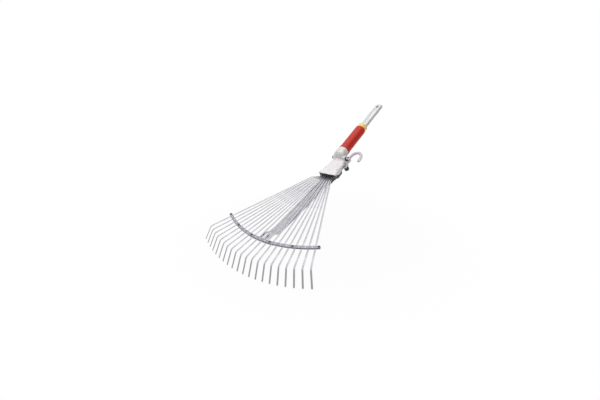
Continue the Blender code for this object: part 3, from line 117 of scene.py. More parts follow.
def dress(tree, shader, colour, roughness, heights, depths):  # reliefs in mm, coarse to fine
    tree.links.new(colour, shader.inputs["Base Color"])
    tree.links.new(roughness, shader.inputs["Roughness"])
    under = None
    for height, depth in zip(heights, depths):
        links = {"Height": height} if under is None else {"Height": height, "Normal": under}
        under = addNode(tree, "ShaderNodeBump", {"Strength": 1.0, "Distance": depth * mm},
                        links).outputs[0]
    tree.links.new(under, shader.inputs["Normal"])


# The fan's own frame: x right, y towards the handle, z square to the tines
slideOut = Vector(joints["spreader_slide"]["axis"])
fanUp = Vector(joints["lever_hinge"]["axis"])
fanTurn = Matrix((Vector((1, 0, 0)), -slideOut, fanUp)).transposed()
neckAxis = Vector(frame["record"]["mounts"][0]["axis"])
neckTurn = Matrix((Vector((1, 0, 0)), neckAxis, Vector((1, 0, 0)).cross(neckAxis))).transposed()
fan = {"tines": 20, "halfAngle": math.radians(26.2), "rootRow": 44.0, "rootDip": 12.0,
       "rootPitch": 1.7, "radius": 380.0}
fanStep = 2 * fan["halfAngle"] / (fan["tines"] - 1)  # angle from one window to the next
neck = {"tongueEnd": 320.0}
hinges = [Vector(joints["tine_%02d_swing" % (k + 1)]["pos_m"]) for k in range(fan["tines"])]
rootsInFan = Vector((0, -fan["rootRow"], -fan["rootDip"])) * mm
apex = (hinges[0] + hinges[-1]) / 2 - fanTurn @ rootsInFan
fanPlace = Matrix.Translation(apex) @ fanTurn.to_4x4()
neckPlace = Matrix.Translation(neckAxis * -neck["tongueEnd"] * mm) @ neckTurn.to_4x4()


def at(place, x, y, z):  # a frame moved by millimetres
    return place @ Matrix.Translation(Vector((x, y, z)) * mm)


def nodeBox(name, place):  # a CAD node's lowest and highest corners in a frame, in mm
    back = place.inverted()
    points = [back @ vertex.co / mm for vertex in nodes[name].data.vertices]
    return [Vector([pick(point[k] for point in points) for k in range(3)]) for pick in (min, max)]


def clamped(value):
    return min(1.0, max(0.0, value))


def smooth(value):  # eased step from 0 to 1
    value = clamped(value)
    return value * value * (3 - 2 * value)


def softRamp(value, soft):  # 0 to 1 in a straight line with rounded ends
    value = min(1 + soft, max(-soft, value))
    if value < soft:
        return (value + soft) ** 2 / (4 * soft)
    if value > 1 - soft:
        return 1 - (1 + soft - value) ** 2 / (4 * soft)
    return value


cornerSteps = (0.0, 0.25, 0.5, 0.75, 1.0)
cornerReach = 0.45  # the most of a side that a rounded corner takes


def cornerCurve(first, corner, last, steps):
    return [tuple(first * (1 - t) ** 2 + corner * 2 * t * (1 - t) + last * t * t) for t in steps]


def soften(points, radius, closed=False):  # rounds the corners of a flat outline
    rounded = []
    count = len(points)
    for k, point in enumerate(points):
        if not closed and k in (0, count - 1):
            rounded.append(tuple(point))
            continue
        corner = Vector(point)
        before = Vector(points[k - 1]) - corner
        after = Vector(points[(k + 1) % count]) - corner
        first = corner + before.normalized() * min(radius, before.length * cornerReach)
        last = corner + after.normalized() * min(radius, after.length * cornerReach)
        rounded += cornerCurve(first, corner, last, cornerSteps)
    return rounded


def skin(bm, rings, capped=True):  # joins rings of equal count, given in mm
    made = [[bm.verts.new(Vector(point) * mm) for point in ring] for ring in rings]
    for first, second in zip(made, made[1:]):
        for k in range(len(first)):
            bm.faces.new((first[k - 1], first[k], second[k], second[k - 1]))
    if capped:
        bm.faces.new(made[0])
        bm.faces.new(made[-1])


def turned(bm, profile, sides, axis="Z", centre=(0, 0, 0)):  # profile is (radius, along) in mm
    rings = []
    for radius, along in profile:
        corners = [(radius * math.cos(2 * math.pi * k / sides), radius * math.sin(2 * math.pi * k / sides))
                   for k in range(sides if radius > 0 else 1)]
        ring = []
        for a, b in corners:
            point = {"X": (along, a, b), "Y": (b, along, a), "Z": (a, b, along)}[axis]
            ring.append(bm.verts.new((Vector(point) + Vector(centre)) * mm))
        rings.append(ring)
    pairs = list(zip(rings, rings[1:]))
    if len(rings[0]) > 1:  # a profile that leaves the axis open closes on itself
        pairs.append((rings[-1], rings[0]))
    for first, second in pairs:
        for k in range(sides):
            if len(first) == 1:
                bm.faces.new((first[0], second[k - 1], second[k]))
            elif len(second) == 1:
                bm.faces.new((first[k - 1], first[k], second[0]))
            else:
                bm.faces.new((first[k - 1], first[k], second[k], second[k - 1]))


def meshFrom(name, bm, sharp=38):
    bmesh.ops.recalc_face_normals(bm, faces=bm.faces)
    mesh = bpy.data.meshes.new(name)
    bm.to_mesh(mesh)
    bm.free()
    mesh.shade_smooth()
    mesh.set_sharp_from_angle(angle=math.radians(sharp))
    return mesh


def slotOutline(half, low, high, steps):  # a flat slot with round ends
    outline = []
    for middle, first in ((low, math.pi), (high, 0.0)):
        for k in range(steps + 1):
            turn = first + k * math.pi / steps
            outline.append((half * math.cos(turn), middle + half * math.sin(turn)))
    return outline


def prism(outline, low, high):  # an upright cutter over a flat outline
    bm = bmesh.new()
    skin(bm, [[(x, y, z) for x, y in outline] for z in (low, high)])
    return meshFrom("prism", bm)


def shaped(mesh, steps):  # a mesh after modifiers, each a kind with its settings
    worker = bpy.data.objects.new("worker", mesh)
    bpy.context.scene.collection.objects.link(worker)
    tools = []
    for kind, settings in steps:
        step = worker.modifiers.new(kind.lower(), kind)
        for key, value in settings.items():
            if key == "object":
                value = bpy.data.objects.new("tool", value)
                bpy.context.scene.collection.objects.link(value)
                tools.append(value)
            setattr(step, key, value)
    bpy.context.view_layer.update()
    graph = bpy.context.evaluated_depsgraph_get()
    result = bpy.data.meshes.new_from_object(worker.evaluated_get(graph))
    for helper in [worker] + tools:
        bpy.data.objects.remove(helper)
    return result


def cutFrom(mesh, cutters, sharp=38):  # a mesh less its cutters
    mesh = shaped(mesh, [("BOOLEAN", {"solver": "EXACT", "operation": "DIFFERENCE", "object": cutter})
                         for cutter in cutters])
    mesh.shade_smooth()
    mesh.set_sharp_from_angle(angle=math.radians(sharp))
    return mesh


cadCopy = {"weld": 0.004, "flat": math.radians(0.8)}


def localCopy(name, place):  # a CAD node's mesh in a frame of its own, with whole flat faces
    mesh = nodes[name].data.copy()
    mesh.transform(place.inverted())
    mesh.materials.clear()
    bm = bmesh.new()
    bm.from_mesh(mesh)
    bmesh.ops.remove_doubles(bm, verts=bm.verts, dist=cadCopy["weld"] * mm)
    bmesh.ops.dissolve_limit(bm, angle_limit=cadCopy["flat"], verts=bm.verts, edges=bm.edges)
    return meshFrom(name + "Copy", bm)


def castCopy(name, place, look):  # the same with the soft corners of a casting
    cast = shaped(localCopy(name, place),
                  [("REMESH", {"mode": "VOXEL", "voxel_size": look["voxel"] * mm}),
                   ("SMOOTH", {"factor": 0.5, "iterations": look["rounds"]}),
                   ("DECIMATE", {"ratio": look["share"]})])
    cast.shade_smooth()
    return cast


bevelFrom = math.radians(35)  # sharper edges than this are softened


def settle(name, mesh, place, body, replaced, material, edge=0.0):
    own = mesh.attributes.new("ownPlace", "FLOAT_VECTOR", "POINT")  # patterns stay on the piece
    for vertex, kept in zip(mesh.vertices, own.data):
        kept.vector = vertex.co
    mesh.transform(place)
    piece = bpy.data.objects.new(name, mesh)
    bpy.context.scene.collection.objects.link(piece)
    if not mesh.materials:
        mesh.materials.append(material)
    if edge:
        bevel = piece.modifiers.new("softEdges", "BEVEL")
        bevel.width = edge * mm
        bevel.segments = 2
        bevel.limit_method = "ANGLE"
        bevel.angle_limit = bevelFrom
    piece.modifiers.new("evenShading", "WEIGHTED_NORMAL").keep_sharp = True
    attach(piece, body)
    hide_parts(*replaced)
    return piece


# Tines: cold-rolled spring strip, bright zinc. The tip's shape is mm back from the end and
# share of the width. Rolling lines and grit are finer than 0.1 mm and are drawn coarser to show.
tine = {"reach": 403.5, "tip": 48.0, "bend": math.radians(47), "bendRadius": 12.0, "width": 5.0,
        "rootWidth": 2.9, "sheet": 1.1, "crown": 0.10, "edge": 0.45, "hookWidth": 1.7,
        "hookDepth": 3.6, "hookRadius": 1.4, "dipStart": 14.5, "dipLength": 36.0,
        "layerOffset": 1.25, "sideGap": 0.5, "travelOut": 45.0, "afterHook": 8.0,
        "beforeClear": 18.0, "mergeWidths": 10, "straight": (60, 120, 180, 232),
        "tipShape": ((30.0, 1.0), (2.2, 1.0), (1.5, 0.95), (0.9, 0.82), (0.4, 0.62), (0.1, 0.42),
                     (0.0, 0.26))}
# The tip colour is painted shade for the turned-down tips, blended in between the two tip heights below.
tineSteel = {"colour": "#BEBEC3", "dull": "#A9A9AF", "tip": "#A7A7AB", "roughness": 0.42,
             "metallic": 0.9, "lineWidth": 0.45, "stretch": (1, 0.02, 1), "faint": 0.35,
             "cloud": 26.0, "grit": 0.7, "depths": (0.006, 0.002), "tipShadeFrom": -394.0,
             "tipShadeTo": -414.0, "wornRough": 0.16, "lineRough": 0.10}


def tineMaterial():
    # zinc-plated spring steel, cold rolled: silvery, fine lines along it, and painted shade on the tips past the
    # bend, where they turn down
    made, tree, shader = startMaterial("zincPlatedSpringStrip", tineSteel)
    lines = drift(tree, localPlace(tree, tineSteel["stretch"]), tineSteel["lineWidth"], 0.0, 1.0, detail=2.0)
    clouds = drift(tree, localPlace(tree), tineSteel["cloud"], 0.0, 1.0)
    grit = drift(tree, localPlace(tree), tineSteel["grit"], 0.0, 1.0)
    split = addNode(tree, "ShaderNodeSeparateXYZ", {}, {0: localPlace(tree)})
    tipShade = addNode(tree, "ShaderNodeMapRange",
                   {"From Min": tineSteel["tipShadeFrom"] * mm, "From Max": tineSteel["tipShadeTo"] * mm,
                    "To Min": 0.0, "To Max": 1.0},
                   {"Value": split.outputs["Y"]}).outputs[0]  # 0 on the straight part, 1 past the bend
    base = addNode(tree, "ShaderNodeMix",
                   {"data_type": "RGBA", 6: tineSteel["colour"], 7: tineSteel["dull"]}, {0: clouds})
    lined = addNode(tree, "ShaderNodeMix", {"data_type": "RGBA", 7: tineSteel["dull"]},
                    {0: lines, 6: base.outputs[2]})
    faint = addNode(tree, "ShaderNodeMath", {"operation": "MULTIPLY", 1: tineSteel["faint"]}, {0: clouds})
    rolled = addNode(tree, "ShaderNodeMix", {"data_type": "RGBA"},
                     {0: faint.outputs[0], 6: base.outputs[2], 7: lined.outputs[2]})
    # the tip colour past the bend is painted shade on the turned-down tips; their roughness also rises there
    worn = addNode(tree, "ShaderNodeMix", {"data_type": "RGBA", 7: tineSteel["tip"]},
                   {0: tipShade, 6: rolled.outputs[2]})
    rough = addNode(tree, "ShaderNodeMath", {"operation": "MULTIPLY_ADD", 1: tineSteel["wornRough"],
                                             2: tineSteel["roughness"]}, {0: tipShade})
    rougher = addNode(tree, "ShaderNodeMath", {"operation": "MULTIPLY_ADD", 1: tineSteel["lineRough"]},
                      {0: lines, 2: rough.outputs[0]})
    dress(tree, shader, worn.outputs[2], rougher.outputs[0], (lines, grit), tineSteel["depths"])
    return made


def tineCourse(layer):  # side view and half widths from the hook to the tip, all in mm
    middle = fan["radius"] - fan["rootRow"]
    spread = (fan["radius"] * fanStep - fan["rootPitch"]) / (middle + tine["travelOut"])
    clear = (tine["width"] + tine["sideGap"] - fan["rootPitch"]) / spread  # neighbours lie apart here
    merged = clear + tine["mergeWidths"] * tine["width"]  # both layers lie in one plane from here

    def level(along):
        dip = fan["rootDip"] * (1 - smooth((along - tine["dipStart"]) / tine["dipLength"]))
        apart = tine["layerOffset"] * (1 - smooth((along - clear) / (merged - clear)))
        return -dip + layer * apart

    root = level(0)
    radius = tine["hookRadius"]
    course = [(0.0, root + layer * tine["hookDepth"], tine["hookWidth"] / 2)]
    for k in range(7):
        turn = k / 6 * math.pi / 2
        course.append((-radius * (1 - math.cos(turn)), root + layer * radius * (1 - math.sin(turn)),
                       tine["hookWidth"] / 2))
    shoulder = radius + (tine["rootWidth"] - tine["hookWidth"]) / 2
    course.append((-shoulder, root, tine["rootWidth"] / 2))
    stations = [tine["afterHook"]]
    stations += [tine["dipStart"] + tine["dipLength"] * k / 16 for k in range(17)]
    stations += [clear - tine["beforeClear"], clear]
    stations += [clear + (merged - clear) * k / 8 for k in range(1, 9)]
    stations += [merged + onward for onward in tine["straight"]]
    for along in stations:
        width = tine["rootWidth"] + (tine["width"] - tine["rootWidth"]) * smooth(along / clear)
        course.append((-along, level(along), width / 2))
    bendStart = tine["reach"] - tine["bendRadius"] * math.tan(tine["bend"] / 2)
    for k in range(13):
        turn = tine["bend"] * k / 12
        course.append((-bendStart - tine["bendRadius"] * math.sin(turn),
                       -tine["bendRadius"] * (1 - math.cos(turn)), tine["width"] / 2))
    along, down = math.cos(tine["bend"]), math.sin(tine["bend"])
    for back, share in tine["tipShape"]:
        reach = tine["tip"] - back
        course.append((-tine["reach"] - reach * along, -reach * down, tine["width"] / 2 * share))
    return course


def stripSection(half):  # rolled strip: round edges and faces a little crowned, as (x, z)
    sheet, crown = tine["sheet"], tine["crown"]
    edge = min(tine["edge"], half * 0.6, sheet * 0.45)
    side = [(half, -sheet / 2 + edge), (half, sheet / 2 - edge),
            (half - edge * 0.3, sheet / 2 - crown - edge * 0.3), (half - edge, sheet / 2 - crown),
            (half * 0.4, sheet / 2 - crown * 0.2)]
    upper = side + [(-x, z) for x, z in reversed(side)]
    return upper + [(-x, -z) for x, z in upper[2:-2]]


def buildTines(material):
    meshes = {}
    for layer in (1, -1):
        course = tineCourse(layer)
        rings = []
        for k, (y, z, half) in enumerate(course):
            ahead = Vector(course[min(k + 1, len(course) - 1)][:2])
            behind = Vector(course[max(k - 1, 0)][:2])
            along = (ahead - behind).normalized()
            across = Vector((-along.y, along.x))
            rings.append([(x, y + across.x * t, z + across.y * t) for x, t in stripSection(half)])
        bm = bmesh.new()
        skin(bm, rings)
        meshes[layer] = meshFrom("tineUpper" if layer == 1 else "tineLower", bm, sharp=50)
    for k in range(fan["tines"]):
        rootX = (k - (fan["tines"] - 1) / 2) * fan["rootPitch"]
        window = -fan["halfAngle"] + k * fanStep
        turn = math.atan2(fan["radius"] * math.sin(window) - rootX,
                          fan["radius"] * math.cos(window) - fan["rootRow"])
        name = "tine_%02d" % (k + 1)
        place = at(fanPlace, rootX, -fan["rootRow"], 0) @ Matrix.Rotation(turn, 4, "Z")
        settle(name + "_strip", meshes[1 if k % 2 == 0 else -1].copy(), place, name, [name],
               material)


springZinc = tineMaterial()
buildTines(springZinc)
print("tines laid:", fan["tines"])

# Spreader: two curved strips of darker zinc-plated sheet with pressed domes between the rivets.
# Rows are mm along from each post, columns are quarters of the flat's half width, and the end's
# shape is mm back from the end and mm narrower.
spreader = {"strip": 9.0, "sheet": 1.5, "overhang": math.radians(1.9), "upper": 1.05, "lower": -2.55,
            "dome": 2.9, "domeHeight": 0.9, "domeCurve": 1.5, "rivetEvery": 4, "post": 2.3,
            "postHalf": 0.75, "postSunk": 0.1, "postRound": 0.25, "postSides": 20, "edge": 0.5,
            "endClear": 3.5,
            "rows": (-6.0, -3.2, -2.5, -1.8, -1.1, -0.4, 0.4, 1.1, 1.8, 2.5, 3.2, 6.0),
            "columns": (4, 2.8, 2.2, 1.6, 1.0, 0.5, 0, -0.5, -1.0, -1.6, -2.2, -2.8, -4),
            "endShape": ((3.0, 0.0), (1.2, 0.0), (0.5, 0.25), (0.15, 0.7), (0.0, 1.4))}
# Each sheet's third colour is a painted highlight, laid on its highest parts between the two heights that follow
# it.
spreaderSteel = {"colour": "#A6A6AC", "dull": "#8F8F96", "paintedHighlight": "#D2D3D8", "highlightFrom": 2.75,
                 "highlightTo": 3.3, "roughness": 0.42, "metallic": 0.9, "cloud": 14.0,
                 "stretch": (1, 1, 1)}
strutSteel = {"colour": "#D5D5DA", "dull": "#C1C1C8", "paintedHighlight": "#DADADF", "highlightFrom": -17.2,
              "highlightTo": -16.2, "roughness": 0.5, "metallic": 0.5, "cloud": 20.0,
              "stretch": (1, 0.03, 1)}
# What both sheets share. In this and the other finishes, fall is how far the roughness starts
# below its value, and rise is how far the pattern lifts it from there.
zincFinish = {"lineWidth": 0.6, "faint": 0.45, "highlightShare": 0.85, "grit": 0.6, "fall": 0.06,
              "rise": 0.16, "depths": (0.004, 0.001)}


def zincMaterial(name, look):
    # zinc-plated mild steel sheet, pressed: bluish grey in soft clouds, with a painted highlight on its highest
    # parts
    # Its rolling lines and grit are finer than 0.1 mm and are drawn coarser to show.
    made, tree, shader = startMaterial(name, look)
    lines = drift(tree, localPlace(tree, look["stretch"]), zincFinish["lineWidth"], 0.0, 1.0, detail=2.0)
    clouds = drift(tree, localPlace(tree), look["cloud"], 0.0, 1.0, detail=4.0)
    grit = drift(tree, localPlace(tree), zincFinish["grit"], 0.0, 1.0)
    base = addNode(tree, "ShaderNodeMix", {"data_type": "RGBA", 6: look["colour"], 7: look["dull"]},
                   {0: clouds})
    faint = addNode(tree, "ShaderNodeMath", {"operation": "MULTIPLY", 1: zincFinish["faint"]}, {0: lines})
    lined = addNode(tree, "ShaderNodeMix", {"data_type": "RGBA", 7: look["dull"]},
                    {0: faint.outputs[0], 6: base.outputs[2]})
    split = addNode(tree, "ShaderNodeSeparateXYZ", {}, {0: localPlace(tree)})
    # painted highlight: the higher the sheet stands, the lighter it is drawn
    raised = addNode(tree, "ShaderNodeMapRange",
                     {"From Min": look["highlightFrom"] * mm, "From Max": look["highlightTo"] * mm,
                      "To Min": 0.0, "To Max": zincFinish["highlightShare"]},
                     {"Value": split.outputs["Z"]})  # dome tops and rib backs
    paintedHighlight = addNode(tree, "ShaderNodeMix", {"data_type": "RGBA", 7: look["paintedHighlight"]},
                     {0: raised.outputs[0], 6: lined.outputs[2]})
    rough = addNode(tree, "ShaderNodeMath",
                    {"operation": "MULTIPLY_ADD", 1: zincFinish["rise"],
                     2: look["roughness"] - zincFinish["fall"]}, {0: clouds})
    dress(tree, shader, paintedHighlight.outputs[2], rough.outputs[0], (lines, grit), zincFinish["depths"])
    return made


def postAngle(post):
    return -fan["halfAngle"] + (post - 0.5) * fanStep


def buildStrip(name, low, domed, material):
    posts = range(fan["tines"] + 1)
    pressed = [k for k in posts if k % spreader["rivetEvery"]]
    endAngle = fan["halfAngle"] + spreader["overhang"]
    angles = [postAngle(k) + offset / fan["radius"] for k in posts for offset in spreader["rows"]]
    inside = [angle for angle in angles if abs(angle) < endAngle - spreader["endClear"] / fan["radius"]]
    ends = [(endAngle - back / fan["radius"], narrow) for back, narrow in spreader["endShape"]]
    stations = [(-a, narrow) for a, narrow in reversed(ends)] + [(a, 0.0) for a in inside] + ends
    half = spreader["strip"] / 2
    high = low + spreader["sheet"]
    edge = spreader["edge"]
    bevel = edge * 0.3
    rings = []
    for angle, narrow in stations:
        wide = half - narrow
        across = [(wide, low + edge), (wide, high - edge), (wide - bevel, high - bevel)]
        across += [(u * (wide - edge) / 4, high) for u in spreader["columns"]]
        across += [(-wide + bevel, high - bevel), (-wide, high - edge), (-wide, low + edge),
                   (-wide + bevel, low + bevel), (-wide + edge, low), (wide - edge, low),
                   (wide - bevel, low + bevel)]
        ring = []
        for out, z in across:
            if domed and z == high:
                for k in pressed:
                    away = math.hypot((angle - postAngle(k)) * fan["radius"], out)
                    if away < spreader["dome"]:
                        swell = math.cos(math.pi * away / spreader["dome"] / 2) ** spreader["domeCurve"]
                        z += spreader["domeHeight"] * swell
            radius = fan["radius"] + out
            ring.append((radius * math.sin(angle), -radius * math.cos(angle), z))
        rings.append(ring)
    bm = bmesh.new()
    skin(bm, rings)
    if not domed:  # the posts that keep the strips apart stand on the lower one
        foot = high - spreader["postSunk"]
        profile = soften([(0, foot), (spreader["post"], foot), (spreader["post"], spreader["postHalf"]),
                          (0, spreader["postHalf"])], spreader["postRound"])
        for k in pressed:
            x, y = fan["radius"] * math.sin(postAngle(k)), -fan["radius"] * math.cos(postAngle(k))
            turned(bm, profile, spreader["postSides"], "Z", (x, y, 0))
    settle(name + "_strip", meshFrom(name + "Strip", bm, sharp=60), fanPlace, "spreader", [name],
           material)


darkZinc = zincMaterial("darkZincPressedStrip", spreaderSteel)
buildStrip("spreader_upper", spreader["upper"], domed=True, material=darkZinc)
buildStrip("spreader_lower", spreader["lower"], domed=False, material=darkZinc)
print("spreader strips pressed")

# Strut, its foot and the separator: zinc-plated sheet. Columns are mm from the middle and from
# the side, and rows are mm out from the fan's apex.
strut = {"half": 19.0, "endHalf": 17.0, "sheet": 1.8, "top": -18.9, "endTop": -4.95, "rear": 61.0,
         "end": 365.8, "ribStart": 138.0, "ribEnd": 318.0, "ramp": 12.0, "ribHeight": 3.0,
         "ribHalf": 4.6, "ribFlank": 4.6, "drop": 4.0, "flange": 2.6, "slopeStart": 330.0,
         "slopeEnd": 350.0, "slopeSoft": 0.12, "slotHalf": 2.9, "stackRow": 25.15, "travelIn": 50.4,
         "travelOut": 45.4, "knobHole": 2.8, "cutLow": -30, "cutHigh": -10, "edge": 0.35,
         "footEdge": 0.35, "separatorEdge": 0.15,
         "columns": (0, 2.4, 4.0, 4.8, 5.6, 6.4, 7.2, 8.0, 8.8, 9.6, 12.5),
         "sideColumns": (3.0, 2.4, 1.8, 1.2, 0.6, 0.0),
         "rows": (-30, 0, 30, 60, 90, 120, 175, 200, 225, 250, 275, 290)}


def strutRing(along):
    far = smooth((along - strut["ribStart"]) / (strut["slopeEnd"] - strut["ribStart"]))
    half = strut["half"] + (strut["endHalf"] - strut["half"]) * far
    ribbed = min(smooth((along - strut["ribStart"]) / strut["ramp"]),
                 smooth((strut["ribEnd"] - along) / strut["ramp"]))
    climb = softRamp((along - strut["slopeStart"]) / (strut["slopeEnd"] - strut["slopeStart"]),
                     strut["slopeSoft"])
    base = strut["top"] + (strut["endTop"] - strut["top"]) * climb
    places = list(strut["columns"]) + [half - back for back in strut["sideColumns"]]
    upper = []
    for x in [-place for place in reversed(places[1:])] + places:
        rib = strut["ribHeight"] * (1 - smooth((abs(x) - strut["ribHalf"]) / strut["ribFlank"]))
        fold = strut["drop"] * smooth((abs(x) - half + strut["flange"]) / strut["flange"])
        upper.append((x, base + ribbed * (rib - fold)))
    lower = [(x, z - strut["sheet"]) for x, z in reversed(upper)]
    return [(x, -along, z) for x, z in upper + lower]


def buildStrut(material):
    ramps = [strut["ribStart"] + strut["ramp"] * k / 8 for k in range(9)]
    ramps += [strut["ribEnd"] - strut["ramp"] * k / 8 for k in range(9)]
    slope = [strut["slopeStart"] + (strut["slopeEnd"] - strut["slopeStart"]) * k / 12
             for k in range(-2, 15)]
    stations = sorted([-strut["rear"], *strut["rows"], *ramps, *slope, strut["end"]])
    bm = bmesh.new()
    skin(bm, [strutRing(along) for along in stations])
    slot = slotOutline(strut["slotHalf"], -(strut["stackRow"] + strut["travelIn"]),
                       -(strut["stackRow"] - strut["travelOut"]), 16)
    low, high = nodeBox("slide_knob", fanPlace)
    middle = (low + high) / 2
    hole = [(middle.x + strut["knobHole"] * math.cos(k * math.pi / 12),
             middle.y + strut["knobHole"] * math.sin(k * math.pi / 12)) for k in range(24)]
    cuts = [prism(outline, strut["cutLow"], strut["cutHigh"]) for outline in (slot, hole)]
    settle("strut_strap", cutFrom(meshFrom("strutStrap", bm), cuts), fanPlace, "spreader", ["strut"],
           material, strut["edge"])


brightZinc = zincMaterial("zincPlatedPressedSheet", strutSteel)
buildStrut(brightZinc)
settle("strut_foot_plate", localCopy("strut_foot", fanPlace), fanPlace, "spreader", ["strut_foot"],
       brightZinc, strut["footEdge"])
settle("separator_sheet", localCopy("tine_separator", fanPlace), fanPlace, "head",
       ["tine_separator"], brightZinc, strut["separatorEdge"])
print("strut, foot and separator made")

# Rivets, bolts and pins: steel with a dark passivated zinc coat, sizes in mm
rivet = {"shank": 1.6, "headHeight": 1.4, "rim": 0.1, "rimUnder": 0.05, "rimShare": 0.97,
         "sides": 32}
thread = {"pitch": 0.8, "depth": 0.4, "crestFrom": 0.45, "crestTo": 0.55}
stackBolt = {"shank": 2.5, "tip": 0.1, "threaded": 6.0, "plainFrom": 6.4, "headHeight": 2.2,
             "rim": 1.2, "crown": 0.6, "round": 0.8, "sides": 40}
clampBolt = {"shank": 3.0, "headHeight": 4.2, "face": 0.66, "faceRim": 0.1, "bulge": 1.9, "tip": 1.0,
             "tipShare": 0.7, "round": 1.0, "sides": 48}
leverPin = {"shank": 2.0, "headHeight": 1.0, "rim": 0.5, "face": 0.7, "faceRim": 0.05, "round": 0.5,
            "sides": 32}
shankPin = {"round": 0.6, "sides": 32}
washer = {"bore": 3.3, "round": 0.3, "sides": 48}
nut = {"bore": 2.55, "chamfer": 0.94, "chamferHeight": 0.35, "sides": 72, "weld": 0.001}
darkSteel = {"colour": "#343137", "worn": "#6E6B73", "roughness": 0.46, "metallic": 0.4}
studSteel = {"colour": "#8C8B8F", "worn": "#C2C2C5", "roughness": 0.34, "metallic": 0.9}
# What both steels share. Edges are the sharpness where rubbing starts and where it is full.
steelFinish = {"cloud": 3.0, "clouding": 0.12, "edges": (0.53, 0.62), "bared": 0.6, "grit": 0.35,
               "fall": 0.06, "rise": 0.18, "depths": (0.02, 0.004)}


def steelMaterial(name, look):
    # passivated steel, turned and tumbled: even sheen, paler where tools and hands rub the edges.
    # Tumbling marks are finer than 0.1 mm and are drawn coarser to show.
    made, tree, shader = startMaterial(name, look)
    clouds = drift(tree, localPlace(tree), steelFinish["cloud"], 0.0, 1.0, detail=4.0)
    grit = drift(tree, localPlace(tree), steelFinish["grit"], 0.0, 1.0)
    shape = addNode(tree, "ShaderNodeNewGeometry")
    bared = addNode(tree, "ShaderNodeMapRange",
                    {"From Min": steelFinish["edges"][0], "From Max": steelFinish["edges"][1],
                     "To Min": 0.0, "To Max": steelFinish["bared"]},
                    {"Value": shape.outputs["Pointiness"]})
    share = addNode(tree, "ShaderNodeMath",
                    {"operation": "MULTIPLY_ADD", 1: steelFinish["clouding"], "use_clamp": True},
                    {0: clouds, 2: bared.outputs[0]})
    colour = addNode(tree, "ShaderNodeMix", {"data_type": "RGBA", 6: look["colour"], 7: look["worn"]},
                     {0: share.outputs[0]})
    rough = addNode(tree, "ShaderNodeMath",
                    {"operation": "MULTIPLY_ADD", 1: steelFinish["rise"],
                     2: look["roughness"] - steelFinish["fall"]}, {0: grit})
    dress(tree, shader, colour.outputs[2], rough.outputs[0], (clouds, grit), steelFinish["depths"])
    return made


def mirrored(upper):  # a profile with its own mirror image below
    return [(radius, z) for radius, z in upper] + [(radius, -z) for radius, z in reversed(upper)]


def turnPiece(name, place, profile, sides, axis, material, body="head", sharp=38):
    bm = bmesh.new()
    turned(bm, profile, sides, axis)
    mesh = meshFrom(name + "Turned", bm, sharp)
    settle(name + "_turned", mesh, place, body, [name], material)


def buildRivet(name, body, material):  # a domed head on each end, between the CAD rivet's ends
    low, high = nodeBox(name, fanPlace)
    head = (high.x - low.x) / 2
    half = (high.z - low.z) / 2
    rise = rivet["headHeight"]
    base = half - rise
    upper = [(head * math.sin(t * math.pi / 16), base + rise * math.cos(t * math.pi / 16))
             for t in range(8)]
    upper += [(head, base + rivet["rim"]), (head, base - rivet["rimUnder"]),
              (head * rivet["rimShare"], base - rivet["rim"]), (rivet["shank"], base - rivet["rim"])]
    turnPiece(name, at(fanPlace, *(low + high) / 2), mirrored(upper), rivet["sides"], "Z",
              material, body, sharp=50)


def threadRings(length, radius):  # small steps of a screw thread, drawn as rings
    rings = []
    for k in range(int(length / thread["pitch"])):
        start = k * thread["pitch"]
        rings += [(radius - thread["depth"], start),
                  (radius, start + thread["pitch"] * thread["crestFrom"]),
                  (radius, start + thread["pitch"] * thread["crestTo"])]
    return rings


def buildStackBolt(material):
    low, high = nodeBox("stack_bolt", fanPlace)
    middle = (low + high) / 2
    head = (high.x - low.x) / 2
    shank, under = stackBolt["shank"], high.z - stackBolt["headHeight"]
    profile = [(0, low.z)] + [(radius, low.z + stackBolt["tip"] + z)
                              for radius, z in threadRings(stackBolt["threaded"], shank)]
    profile += soften([(shank, low.z + stackBolt["plainFrom"]), (shank, under), (head, under),
                       (head, high.z - stackBolt["rim"]), (head * stackBolt["crown"], high.z),
                       (0, high.z)], stackBolt["round"])
    turnPiece("stack_bolt", at(fanPlace, middle.x, middle.y, 0), profile, stackBolt["sides"], "Z",
              material)


def buildNut(material):  # hexagon nut with both faces chamfered
    low, high = nodeBox("stack_nut", fanPlace)
    middle = (low + high) / 2
    corner = (high.x - low.x) / 2
    flat = corner * math.cos(math.pi / 6)
    turns = [2 * math.pi * k / nut["sides"] for k in range(nut["sides"])]
    rings = []
    for z, limit in ((low.z, nut["chamfer"]), (low.z + nut["chamferHeight"], 1.0),
                     (high.z - nut["chamferHeight"], 1.0), (high.z, nut["chamfer"])):
        outs = [min(flat / math.cos((turn % (math.pi / 3)) - math.pi / 6), corner * limit)
                for turn in turns]
        rings.append([(out * math.cos(turn), out * math.sin(turn), z) for out, turn in zip(outs, turns)])
    for z in (high.z, low.z):
        rings.append([(nut["bore"] * math.cos(turn), nut["bore"] * math.sin(turn), z) for turn in turns])
    bm = bmesh.new()
    skin(bm, rings + [rings[0]], capped=False)
    bmesh.ops.remove_doubles(bm, verts=bm.verts, dist=nut["weld"] * mm)
    settle("stack_nut_hexagon", meshFrom("stackNutHexagon", bm), at(fanPlace, middle.x, middle.y, 0),
           "head", ["stack_nut"], material)


